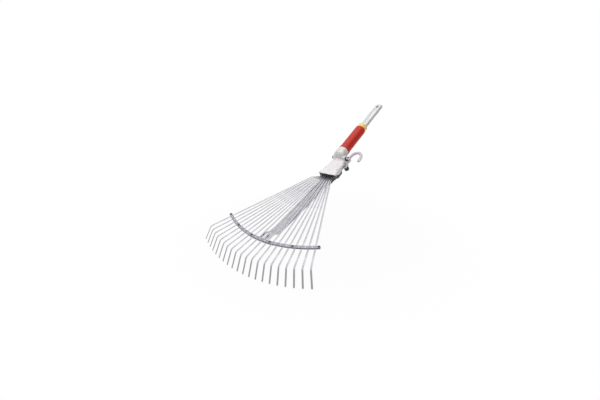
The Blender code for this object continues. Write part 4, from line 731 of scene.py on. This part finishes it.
def buildClamp(material, zinc, nylon):  # cross bolt with its washer and thrust pad, and two pins
    low, high = nodeBox("clamp_bolt", fanPlace)
    middle = (low + high) / 2
    head, shank = (high.z - low.z) / 2, clampBolt["shank"]
    headEnd = low.x + clampBolt["headHeight"]
    profile = soften([(0, low.x), (head * clampBolt["face"], low.x + clampBolt["faceRim"]),
                      (head, low.x + clampBolt["bulge"]), (head, headEnd), (shank, headEnd),
                      (shank, high.x - clampBolt["tip"]), (shank * clampBolt["tipShare"], high.x),
                      (0, high.x)], clampBolt["round"])
    turnPiece("clamp_bolt", at(fanPlace, 0, middle.y, middle.z), profile, clampBolt["sides"], "X",
              material)
    low, high = nodeBox("lever_pin", fanPlace)
    half, outer = (high.z - low.z) / 2, (high.x - low.x) / 2
    under = half - leverPin["headHeight"]
    upper = soften([(0, half), (outer * leverPin["face"], half - leverPin["faceRim"]),
                    (outer, half - leverPin["rim"]), (outer, under), (leverPin["shank"], under),
                    (leverPin["shank"], 0)], leverPin["round"])[:-1]
    turnPiece("lever_pin", at(fanPlace, *(low + high) / 2), mirrored(upper), leverPin["sides"], "Z",
              material)
    low, high = nodeBox("shank_pin", neckPlace)
    half, outer = (high.x - low.x) / 2, (high.z - low.z) / 2
    profile = soften([(0, -half), (outer, -half), (outer, half), (0, half)], shankPin["round"])
    turnPiece("shank_pin", at(neckPlace, *(low + high) / 2), profile, shankPin["sides"], "X",
              material)
    for name, slot, finish in (("clamp_washer", "spring_steel", zinc),
                               ("thrust_pad", "black_plastic", nylon)):
        low, high = nodeBox(name, fanPlace)
        half, outer = (high.x - low.x) / 2, (high.z - low.z) / 2
        profile = soften([(washer["bore"], -half), (outer, -half), (outer, half), (washer["bore"], half)],
                         washer["round"], closed=True)
        turnPiece(name, at(fanPlace, *(low + high) / 2), profile, washer["sides"], "X", finish)


# Hood: powder-coated white sheet, folded down at both sides
hood = {"rearHalf": 24.0, "front": 53.0, "rear": -20.7, "jaw": 21.0, "holderRear": 8.0,
        "level": 0.4, "sheet": 1.2, "rearEdge": 5.5, "rearRidge": 12.8, "mouthRidge": 3.0,
        "rearFlange": 5.0, "earDrop": 16.5, "leastDrop": 3.0, "mouthFlange": 3.4, "bow": 5.0,
        "stackRow": 25.15, "earRow": 1.5, "mouthClear": 6.0, "shoulder": 4.6, "ridgeWidth": 0.16,
        "shoulderSteps": (0.15, 0.3, 0.45, 0.6, 0.75, 0.9, 1.0), "edge": 0.3}
whiteCoat = {"colour": "#F6F2F4", "thin": "#E2D9DE", "roughness": 0.36, "metallic": 0.0,
             "peel": 2.4, "fine": 2.0, "cloud": 22.0, "clouding": 0.5, "coat": 0.15, "fall": 0.03,
             "rise": 0.10, "depths": (0.010, 0.0008)}


def whiteCoatMaterial():
    # white powder coat on steel sheet: bright and even, with orange peel and a greyer cast in clouds.
    # The peel is about 1 mm on the real sheet and is drawn coarser to show.
    made, tree, shader = startMaterial("whitePowderCoatedSheet", whiteCoat)
    clouds = drift(tree, localPlace(tree), whiteCoat["cloud"], 0.0, whiteCoat["clouding"], detail=4.0)
    peel = addNode(tree, "ShaderNodeTexVoronoi",
                   {"feature": "SMOOTH_F1", "Scale": perMm(whiteCoat["peel"])},
                   {"Vector": localPlace(tree)}).outputs["Distance"]
    fine = drift(tree, localPlace(tree), whiteCoat["fine"], 0.0, 1.0)
    colour = addNode(tree, "ShaderNodeMix",
                     {"data_type": "RGBA", 6: whiteCoat["colour"], 7: whiteCoat["thin"]}, {0: clouds})
    rough = addNode(tree, "ShaderNodeMath",
                    {"operation": "MULTIPLY_ADD", 1: whiteCoat["rise"],
                     2: whiteCoat["roughness"] - whiteCoat["fall"]}, {0: fine})
    shader.inputs["Coat Weight"].default_value = whiteCoat["coat"]
    dress(tree, shader, colour.outputs[2], rough.outputs[0], (peel, fine), whiteCoat["depths"])
    return made


def hoodRing(along, mouthHalf, bow=0.0):
    share = (along - hood["rear"]) / (hood["front"] + hood["sheet"] - hood["rear"])
    half = hood["rearHalf"] + (mouthHalf - hood["rearHalf"]) * share
    back = clamped((hood["holderRear"] - along) / (hood["holderRear"] + hood["jaw"]))
    edge = hood["level"] + hood["rearEdge"] * smooth(back)
    forward = clamped((hood["front"] - along) / (hood["front"] + hood["jaw"]))
    ridge = hood["level"] + hood["mouthRidge"] + (hood["rearRidge"] - hood["mouthRidge"]) * forward
    ridge = max(ridge, edge + hood["sheet"])
    if along < hood["stackRow"]:
        share = (along + hood["jaw"]) / (hood["stackRow"] + hood["jaw"])
        bottom = hood["level"] + (hood["rearEdge"] - hood["rearFlange"]) * (1 - share)
        bottom -= hood["earDrop"] * share
    else:
        share = min(1.0, (along - hood["stackRow"]) / (hood["front"] - hood["stackRow"]))
        bottom = hood["level"] - hood["earDrop"] + (hood["earDrop"] - hood["mouthFlange"]) * share
    bottom = min(bottom, edge - hood["leastDrop"])
    top = edge + hood["sheet"]
    fold = hood["shoulder"]

    def roof(x):
        away = abs(x) / (half - hood["sheet"])
        width = hood["ridgeWidth"]
        crease = (math.sqrt(away * away + width * width) - width) / (math.sqrt(1 + width * width) - width)
        return top + (ridge - edge) * (1 - crease)

    side = [(half, bottom + (top - fold - bottom) * k / 4) for k in range(5)]
    side += cornerCurve(Vector((half, top - fold)), Vector((half, top)),
                        Vector((half - fold, roof(half - fold))), hood["shoulderSteps"])
    roofLine = [((half - fold) * k / 12, roof((half - fold) * k / 12)) for k in range(11, 0, -1)]
    outer = side + roofLine + [(0.0, roof(0.0))]
    outer += [(-x, z) for x, z in reversed(outer[:-1])]
    inner = []
    for k, (x, z) in enumerate(outer):
        ahead, behind = Vector(outer[min(k + 1, len(outer) - 1)]), Vector(outer[max(k - 1, 0)])
        tangent = (ahead - behind).normalized()
        inner.append((x - tangent.y * hood["sheet"], z + tangent.x * hood["sheet"]))
    return [(x, -along - bow * (1 - (x / half) ** 2), z) for x, z in outer + inner[::-1]]


def buildHood(material):
    stations = [hood["rear"] + (hood["front"] - hood["rear"]) * k / 20 for k in range(20)]
    stations = sorted(stations + [hood["stackRow"] - hood["earRow"], hood["stackRow"],
                                  hood["stackRow"] + hood["earRow"]])
    mouthHalf = nodeBox("hood", fanPlace)[1].x
    rings = [hoodRing(along, mouthHalf) for along in stations
             if along < hood["front"] - hood["mouthClear"]]
    rings.append(hoodRing(hood["front"] + hood["sheet"], mouthHalf, hood["bow"]))
    bm = bmesh.new()
    skin(bm, rings, capped=False)
    bm.verts.ensure_lookup_table()
    count = len(rings[0])
    for first in (0, (len(rings) - 1) * count):  # both ends are closed between the sheet's faces
        for k in range(count // 2 - 1):
            bm.faces.new([bm.verts[first + index] for index in (k, k + 1, count - k - 2, count - k - 1)])
    settle("hood_sheet", meshFrom("hoodSheet", bm, sharp=50), fanPlace, "head", ["hood"],
           material, hood["edge"])


# Black mouldings: glass-filled nylon
blackMoulding = {"colour": "#23282B", "pale": "#34393C", "roughness": 0.50, "metallic": 0.0,
                 "flow": 16.0, "edge": 0.45}
# What the holder, the guide and the knob share
nylonFinish = {"grain": 1.6, "stretch": (1, 0.4, 1), "mottle": 0.8, "fall": 0.07, "rise": 0.14,
               "depths": (0.006,)}


def blackNylonMaterial(name, look):
    # glass-filled nylon, moulded: black with a faint grey flow mottle and a spark-eroded grain.
    # The real grain is about 0.2 mm and is drawn coarser to show.
    made, tree, shader = startMaterial(name, look)
    flow = drift(tree, localPlace(tree, nylonFinish["stretch"]), look["flow"], 0.0,
                 nylonFinish["mottle"], detail=5.0)
    grain = drift(tree, localPlace(tree), nylonFinish["grain"], 0.0, 1.0)
    colour = addNode(tree, "ShaderNodeMix", {"data_type": "RGBA", 6: look["colour"], 7: look["pale"]},
                     {0: flow})
    rough = addNode(tree, "ShaderNodeMath",
                    {"operation": "MULTIPLY_ADD", 1: nylonFinish["rise"],
                     2: look["roughness"] - nylonFinish["fall"]}, {0: grain})
    dress(tree, shader, colour.outputs[2], rough.outputs[0], (grain,), nylonFinish["depths"])
    return made


# Castings: collar, plug and cam lever. Voxel, rounds and share set how soft their corners are.
greyCast = {"colour": "#E4E2DE", "dull": "#D0CECA", "worn": "#F0EFED", "roughness": 0.50,
            "metallic": 0.25, "grain": 2.2, "flow": 12.0, "stretch": (1, 1, 1), "voxel": 0.55,
            "rounds": 16, "share": 0.22}
leverCast = {"colour": "#CFC5D0", "dull": "#B5ABB8", "worn": "#E6E0E8", "roughness": 0.46,
             "metallic": 0.4, "grain": 2.0, "flow": 8.0, "stretch": (1, 1, 1), "voxel": 0.4,
             "rounds": 18, "share": 0.3}
plugCast = {"colour": "#D6D7D6", "dull": "#BEBFBF", "worn": "#EAEBEA", "roughness": 0.46,
            "metallic": 0.6, "grain": 2.2, "flow": 10.0, "stretch": (1, 0.15, 1)}
# What the castings share. Pits are pitEvery grains apart, and pitSize is a share of that.
castFinish = {"pitEvery": 2.2, "pitSize": 0.22, "edges": (0.53, 0.60), "bared": 0.8, "fall": 0.06,
              "rise": 0.16, "depths": (0.010, 0.002)}


def castMaterial(name, look):
    # die-cast alloy, tumbled: sandy skin with flow clouds, hollows duller and raised edges rubbed bright.
    # The real grain is about 0.3 mm and is drawn coarser to show.
    made, tree, shader = startMaterial(name, look)
    flow = drift(tree, localPlace(tree, look["stretch"]), look["flow"], 0.0, 1.0, detail=5.0)
    grain = drift(tree, localPlace(tree), look["grain"], 0.0, 1.0, detail=2.0)
    pits = addNode(tree, "ShaderNodeTexVoronoi",
                   {"Scale": perMm(look["grain"] * castFinish["pitEvery"])}, {"Vector": localPlace(tree)})
    pit = addNode(tree, "ShaderNodeMapRange",
                  {"From Min": 0.0, "From Max": castFinish["pitSize"], "To Min": 0.0, "To Max": 1.0},
                  {"Value": pits.outputs["Distance"]}).outputs[0]
    shape = addNode(tree, "ShaderNodeNewGeometry")
    bared = addNode(tree, "ShaderNodeMapRange",
                    {"From Min": castFinish["edges"][0], "From Max": castFinish["edges"][1],
                     "To Min": 0.0, "To Max": castFinish["bared"]},
                    {"Value": shape.outputs["Pointiness"]})
    base = addNode(tree, "ShaderNodeMix", {"data_type": "RGBA", 6: look["colour"], 7: look["dull"]},
                   {0: flow})
    colour = addNode(tree, "ShaderNodeMix", {"data_type": "RGBA", 7: look["worn"]},
                     {0: bared.outputs[0], 6: base.outputs[2]})
    rough = addNode(tree, "ShaderNodeMath",
                    {"operation": "MULTIPLY_ADD", 1: castFinish["rise"],
                     2: look["roughness"] - castFinish["fall"]}, {0: flow})
    dress(tree, shader, colour.outputs[2], rough.outputs[0], (grain, pit), castFinish["depths"])
    return made


plug = {"shankHalf": 10.0, "shankHeight": 5.5, "shankCorner": 2.1, "shankFront": 76.0,
        "start": 191.6, "half": 12.0, "height": 7.0, "corner": 3.0, "nose": 4.0, "noseIn": 0.35,
        "noseCurve": 1.6, "noseSteps": (0.3, 0.55, 0.8, 1.0), "grooveHalf": 4.0,
        "grooveDepth": 1.6, "grooveFront": 199.6, "grooveRear": 287.4, "stud": 304.0,
        "pocket": 4.6, "pocketDeep": 10.5, "pocketSides": 40, "cutOver": 2, "edge": 0.45}


def barRing(half, height, corner, along):
    ring = []
    for quarter, (sx, sz) in enumerate(((1, 1), (-1, 1), (-1, -1), (1, -1))):
        for k in range(7):
            turn = (quarter + k / 6) * math.pi / 2
            ring.append((sx * (half - corner) + corner * math.cos(turn), along,
                         sz * (height - corner) + corner * math.sin(turn)))
    return ring


def buildPlug(material):
    end = neck["tongueEnd"]
    half, height = plug["half"], plug["height"]
    rings = [barRing(plug["shankHalf"], plug["shankHeight"], plug["shankCorner"], along)
             for along in (plug["shankFront"], plug["start"])]
    rings += [barRing(half, height, plug["corner"], along)
              for along in (plug["start"], end - plug["nose"])]
    for share in plug["noseSteps"]:  # the nose is drawn in a little for its socket
        shrink = plug["nose"] * plug["noseIn"] * share ** plug["noseCurve"]
        rings.append(barRing(half - shrink, height - shrink, plug["corner"],
                             end - plug["nose"] * (1 - share)))
    bm = bmesh.new()
    skin(bm, rings)
    groove = slotOutline(plug["grooveHalf"], plug["grooveFront"], plug["grooveRear"], 12)
    floor, over = height - plug["grooveDepth"], height + plug["cutOver"]
    cuts = [prism(groove, floor, over), prism(groove, -over, -floor)]
    pocket = bmesh.new()
    deep = height - plug["pocketDeep"]
    turned(pocket, [(0, deep), (plug["pocket"], deep), (plug["pocket"], over), (0, over)],
           plug["pocketSides"], "Z", (0, plug["stud"], 0))
    cuts.append(meshFrom("pocket", pocket))
    settle("plug_cast", cutFrom(meshFrom("plugBar", bm), cuts), neckPlace, "head", ["plug"],
           material, plug["edge"])


# Sleeve and seat ring: moulded plastic
redSleeve = {"colour": "#D22A17", "deep": "#B81F10", "roughness": 0.40, "metallic": 0.0,
             "flow": 30.0, "gloss": 0.35}
yellowRing = {"colour": "#FBDC84", "deep": "#F3CF6C", "roughness": 0.38, "metallic": 0.0,
              "flow": 12.0, "gloss": 0.5}
# What the sleeve and the ring share
mouldedFinish = {"grain": 1.8, "stretch": (1, 0.3, 1), "marbling": 0.6, "ior": 1.49, "fall": 0.05,
                 "rise": 0.12, "depths": (0.004,)}
sleeve = {"front": 57.0, "rear": 175.0, "bead": 19.6, "body": 18.4, "bore": 14.8, "lip": 0.6,
          "lipRise": 1.2, "beadEnd": 6.2, "bodyStart": 9.6, "even": 24, "rearIn": 1.2,
          "rearSlope": 2.4, "round": 1.3, "sides": 96}
ring = {"front": 175.3, "rear": 191.3, "radius": 16.5, "bore": 11.1, "round": 1.0}


def mouldedMaterial(name, look):
    # polypropylene, injection moulded: deep even colour, satin with an eroded grain.
    # The real grain is about 0.2 mm and is drawn coarser to show.
    made, tree, shader = startMaterial(name, look)
    flow = drift(tree, localPlace(tree, mouldedFinish["stretch"]), look["flow"], 0.0,
                 mouldedFinish["marbling"], detail=4.0)
    grain = drift(tree, localPlace(tree), mouldedFinish["grain"], 0.0, 1.0)
    colour = addNode(tree, "ShaderNodeMix", {"data_type": "RGBA", 6: look["colour"], 7: look["deep"]},
                     {0: flow})
    rough = addNode(tree, "ShaderNodeMath",
                    {"operation": "MULTIPLY_ADD", 1: mouldedFinish["rise"],
                     2: look["roughness"] - mouldedFinish["fall"]}, {0: grain})
    shader.inputs["IOR"].default_value = mouldedFinish["ior"]
    shader.inputs["Specular IOR Level"].default_value = look["gloss"]
    dress(tree, shader, colour.outputs[2], rough.outputs[0], (grain,), mouldedFinish["depths"])
    return made


def buildSleeve(red, yellow):
    bead, body, bore = sleeve["bead"], sleeve["body"], sleeve["bore"]
    front, rear = sleeve["front"], sleeve["rear"]
    grip = [(bore, front), (bead - sleeve["lip"], front), (bead, front + sleeve["lipRise"]),
            (bead, front + sleeve["beadEnd"]), (body, front + sleeve["bodyStart"]),
            (body, front + sleeve["even"]), (body, rear - sleeve["even"]),
            (body, rear - sleeve["rearSlope"]), (body - sleeve["rearIn"], rear), (bore, rear)]
    seat = [(ring["bore"], ring["front"]), (ring["radius"], ring["front"]),
            (ring["radius"], ring["rear"]), (ring["bore"], ring["rear"])]
    for name, outline, rounding, slot, finish in (
            ("grip_sleeve", grip, sleeve["round"], "red_plastic", red),
            ("seat_ring", seat, ring["round"], "yellow_plastic", yellow)):
        bm = bmesh.new()
        turned(bm, soften(outline, rounding, closed=True), sleeve["sides"], "Y")
        settle(name + "_moulded", meshFrom(name + "Moulded", bm, sharp=50), neckPlace, "head", [name],
               finish)


# Slide knob: its bulb hangs under the strut and its post goes through it. The bulb is drawn
# in shares of its width and height.
knobNylon = {"colour": "#2B272B", "pale": "#3A363B", "roughness": 0.48, "metallic": 0.0, "flow": 9.0}
knob = {"stem": 19.0, "neck": 5.0, "collar": 4.0, "collarRise": 4.75, "post": 2.5, "cap": 2.8,
        "clear": 0.3, "round": 2.2, "sides": 56,
        "bulb": ((0.62, 0.0), (0.92, 0.12), (1.0, 0.36), (0.93, 0.7))}


def buildKnob(material):
    low, high = nodeBox("slide_knob", fanPlace)
    middle = (low + high) / 2
    radius = (high.x - low.x) / 2
    over = strut["top"] + knob["clear"]
    under = strut["top"] - strut["sheet"] - knob["clear"]
    stemEnd = under - knob["stem"]
    tall = stemEnd - low.z
    bulb = [(radius * wide, low.z + tall * rise) for wide, rise in knob["bulb"]]
    profile = soften([(0, low.z), *bulb, (knob["neck"], stemEnd),
                      (knob["collar"], stemEnd + knob["collarRise"]), (knob["collar"], under),
                      (knob["post"], under), (knob["post"], over), (knob["collar"], over),
                      (knob["cap"], high.z), (0, high.z)], knob["round"])
    bm = bmesh.new()
    turned(bm, profile, knob["sides"])
    settle("slide_knob_moulded", meshFrom("slideKnob", bm, sharp=60),
           at(fanPlace, middle.x, middle.y, 0), "spreader", ["slide_knob"], material)


# Snap stud and its spring: the stud squeezes the coil, whose first and last turns are closed up
stud = {"flangeHeight": 1.2, "radius": 4.2, "crown": 1.9, "round": 0.2, "sides": 40}
spring = {"wire": 0.35, "turns": 5.5, "perTurn": 28, "flatEnd": 0.12, "flatSoft": 0.1,
          "wireSides": 10, "pressedShare": 0.58}


def buildStud(material):
    low, high = nodeBox("snap_stud", neckPlace)
    middle = (low + high) / 2
    flange, radius = (high.x - low.x) / 2, stud["radius"]
    step, crown = low.z + stud["flangeHeight"], high.z - stud["crown"]
    profile = [(0, low.z)]
    profile += soften([(flange, low.z), (flange, step), (radius, step), (radius, crown)], stud["round"])
    profile += [(radius * math.cos(t * math.pi / 16), crown + stud["crown"] * math.sin(t * math.pi / 16))
                for t in range(1, 8)] + [(0, high.z)]
    turnPiece("snap_stud", at(neckPlace, middle.x, middle.y, 0), profile, stud["sides"], "Z",
              material, "stud", sharp=50)


def buildSpring(material):
    low, high = nodeBox("snap_spring", neckPlace)
    middle = (low + high) / 2
    wire = spring["wire"]
    radius = (high.x - low.x) / 2 - wire
    climb = high.z - low.z - 2 * wire
    rings = []
    for k in range(int(spring["turns"] * spring["perTurn"]) + 1):
        turn = 2 * math.pi * k / spring["perTurn"]
        share = k / (spring["turns"] * spring["perTurn"])
        climbed = (share - spring["flatEnd"]) / (1 - 2 * spring["flatEnd"])
        level = low.z + wire + climb * softRamp(climbed, spring["flatSoft"])
        coil = []
        for side in range(spring["wireSides"]):
            around = 2 * math.pi * side / spring["wireSides"]
            out = radius + wire * math.cos(around)
            coil.append((out * math.cos(turn), out * math.sin(turn), level + wire * math.sin(around)))
        rings.append(coil)
    bm = bmesh.new()
    skin(bm, rings)
    piece = settle("snap_spring_coil", meshFrom("snapSpring", bm, sharp=60),
                   at(neckPlace, middle.x, middle.y, 0), "head", ["snap_spring"],
                   material)
    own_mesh(piece)


passivated = steelMaterial("blackPassivatedSteel", darkSteel)
coatedSheet = whiteCoatMaterial()
blackNylon = blackNylonMaterial("blackGlassFilledNylon", blackMoulding)
for k in range(6):
    buildRivet("spreader_rivet_%d" % (k + 1), "spreader", passivated)
for side in ("left", "right"):
    buildRivet("foot_rivet_" + side, "spreader", passivated)
    buildRivet("holder_rivet_" + side, "head", coatedSheet)
buildStackBolt(passivated)
buildNut(passivated)
buildClamp(passivated, springZinc, blackNylon)
print("rivets, bolts and pins turned")
buildHood(coatedSheet)
for name in ("tine_holder_upper", "tine_holder_lower", "strut_guide"):
    settle(name + "_moulded", localCopy(name, fanPlace), fanPlace, "head", [name],
           blackNylon, blackMoulding["edge"])
print("hood and black mouldings made")
greyAlloy = castMaterial("paleDieCastAlloy", greyCast)
leverAlloy = castMaterial("lilacDieCastZinc", leverCast)
plugAlloy = castMaterial("groundDieCastPlug", plugCast)
settle("neck_casting_cast", castCopy("neck_casting", neckPlace, greyCast), neckPlace, "head",
       ["neck_casting"], greyAlloy)
settle("cam_lever_cast", castCopy("cam_lever", fanPlace, leverCast), fanPlace, "lever",
       ["cam_lever"], leverAlloy)
buildPlug(plugAlloy)
print("castings poured")
buildSleeve(mouldedMaterial("redMouldedPolypropylene", redSleeve),
            mouldedMaterial("yellowMouldedPolypropylene", yellowRing))
buildKnob(blackNylonMaterial("darkMouldedKnob", knobNylon))
buildStud(steelMaterial("hardenedStudSteel", studSteel))
buildSpring(springZinc)
print("sleeve, knob, stud and spring made")

# Camera: it stands in front of the tines, low and to their right
cameraLook = {"position": (0.672, -1.2192, 0.0906), "forward": (-0.623, 0.713, -0.321),
              "lens": 21.24, "sensor": 36}


def buildCamera():
    data = bpy.data.cameras.new("camera")
    data.lens = cameraLook["lens"]
    data.sensor_width = cameraLook["sensor"]
    camera = bpy.data.objects.new("camera", data)
    bpy.context.scene.collection.objects.link(camera)
    camera.location = cameraLook["position"]
    camera.rotation_euler = Vector(cameraLook["forward"]).to_track_quat("-Z", "Y").to_euler()
    bpy.context.scene.camera = camera


# Studio: white floor, pale surround and three broad lamps. Each shade of the surround is its
# axis, where it starts and ends, and its level at both. Each lamp is its place from the rake's
# middle, its size in metres and its power in watts.
studio = {"floorSize": 14.0, "floorGap": 0.4, "paper": "#E6E6E6", "floorShadow": 0.05,
          "shadowNear": 0.30, "shadowFar": 0.6,
          "shades": {"height": ("Z", -0.1, 0.8, 0.35, 1.0), "side": ("X", 0.0, 0.9, 0.46, 0.20),
                     "glossHeight": ("Z", -0.1, 0.5, 0.60, 1.0), "glossSide": ("X", 0.0, 0.8, 1.0, 0.40)},
          "lamps": {"keyLamp": ((0.3, -0.7, 2.0), 2.6, 31.0), "fillLamp": ((-1.5, -1.1, 0.8), 1.6, 5.0),
                    "topLamp": ((-0.2, 0.9, 1.8), 1.8, 8.0)}}


def buildFloor():
    bm = bmesh.new()
    bmesh.ops.create_grid(bm, x_segments=1, y_segments=1, size=studio["floorSize"] / 2)
    mesh = bpy.data.meshes.new("floor")
    bm.to_mesh(mesh)
    bm.free()
    floor = bpy.data.objects.new("floor", mesh)
    bpy.context.scene.collection.objects.link(floor)
    floor.location = (0, (cadLow.y + cadHigh.y) / 2, cadLow.z - studio["floorGap"] * mm)
    made = bpy.data.materials.new("paleStudioPaper")  # matt white paper that shows only a soft shadow
    made.use_nodes = True
    made.cycles.emission_sampling = "NONE"  # the white is only seen, so it isn't sampled as a lamp
    tree = made.node_tree
    tree.nodes.clear()
    paper = addNode(tree, "ShaderNodeBsdfDiffuse", {"Color": studio["paper"]})
    white = addNode(tree, "ShaderNodeEmission", {"Color": (1, 1, 1, 1), "Strength": 1.0})
    path = addNode(tree, "ShaderNodeLightPath")
    coords = addNode(tree, "ShaderNodeTexCoord")
    away = addNode(tree, "ShaderNodeVectorMath", {"operation": "LENGTH"}, {0: coords.outputs["Object"]})
    plain = addNode(tree, "ShaderNodeMapRange",
                    {"From Min": studio["shadowNear"], "From Max": studio["shadowFar"],
                     "To Min": 1 - studio["floorShadow"], "To Max": 1.0},
                    {"Value": away.outputs["Value"]})  # plain white away from the rake
    seen = addNode(tree, "ShaderNodeMath", {"operation": "MAXIMUM"},
                   {0: path.outputs["Is Camera Ray"], 1: path.outputs["Is Glossy Ray"]})
    share = addNode(tree, "ShaderNodeMath", {"operation": "MULTIPLY"},
                    {0: seen.outputs[0], 1: plain.outputs[0]})
    mixed = addNode(tree, "ShaderNodeMixShader", {},
                    {0: share.outputs[0], 1: paper.outputs[0], 2: white.outputs[0]})
    addNode(tree, "ShaderNodeOutputMaterial", {}, {"Surface": mixed.outputs[0]})
    mesh.materials.append(made)


def buildSurround():  # duller low down and to the right, as a room is, and white where it is seen
    world = bpy.data.worlds.new("surround")
    bpy.context.scene.world = world
    world.use_nodes = True
    tree = world.node_tree
    tree.nodes.clear()
    place = addNode(tree, "ShaderNodeTexCoord")
    split = addNode(tree, "ShaderNodeSeparateXYZ", {}, {0: place.outputs["Generated"]})
    levels = {}
    for key, (axis, start, end, first, last) in studio["shades"].items():
        levels[key] = addNode(tree, "ShaderNodeMapRange",
                              {"From Min": start, "From Max": end, "To Min": first, "To Max": last},
                              {"Value": split.outputs[axis]}).outputs[0]
    dull = addNode(tree, "ShaderNodeMath", {"operation": "MULTIPLY"},
                   {0: levels["side"], 1: levels["height"]})
    gloss = addNode(tree, "ShaderNodeMath", {"operation": "MULTIPLY"},
                    {0: levels["glossHeight"], 1: levels["glossSide"]})
    path = addNode(tree, "ShaderNodeLightPath")
    reflected = addNode(tree, "ShaderNodeMix", {"data_type": "FLOAT"},
                        {0: path.outputs["Is Glossy Ray"], 2: dull.outputs[0], 3: gloss.outputs[0]})
    level = addNode(tree, "ShaderNodeMix", {"data_type": "FLOAT", 3: 1.0},
                    {0: path.outputs["Is Camera Ray"], 2: reflected.outputs[0]})
    ground = addNode(tree, "ShaderNodeBackground", {"Color": (1, 1, 1, 1)}, {"Strength": level.outputs[0]})
    addNode(tree, "ShaderNodeOutputWorld", {}, {"Surface": ground.outputs[0]})


def buildLamps():
    centre = (cadLow + cadHigh) / 2
    for name, (offset, size, power) in studio["lamps"].items():
        data = bpy.data.lights.new(name, "AREA")
        data.size = size
        data.energy = power
        lamp = bpy.data.objects.new(name, data)
        bpy.context.scene.collection.objects.link(lamp)
        lamp.location = centre + Vector(offset)
        lamp.rotation_euler = (-Vector(offset)).to_track_quat("-Z", "Y").to_euler()


buildCamera()
buildFloor()
buildSurround()
buildLamps()
print("camera and studio stand")

bpy.context.scene.view_settings.view_transform = "Standard"
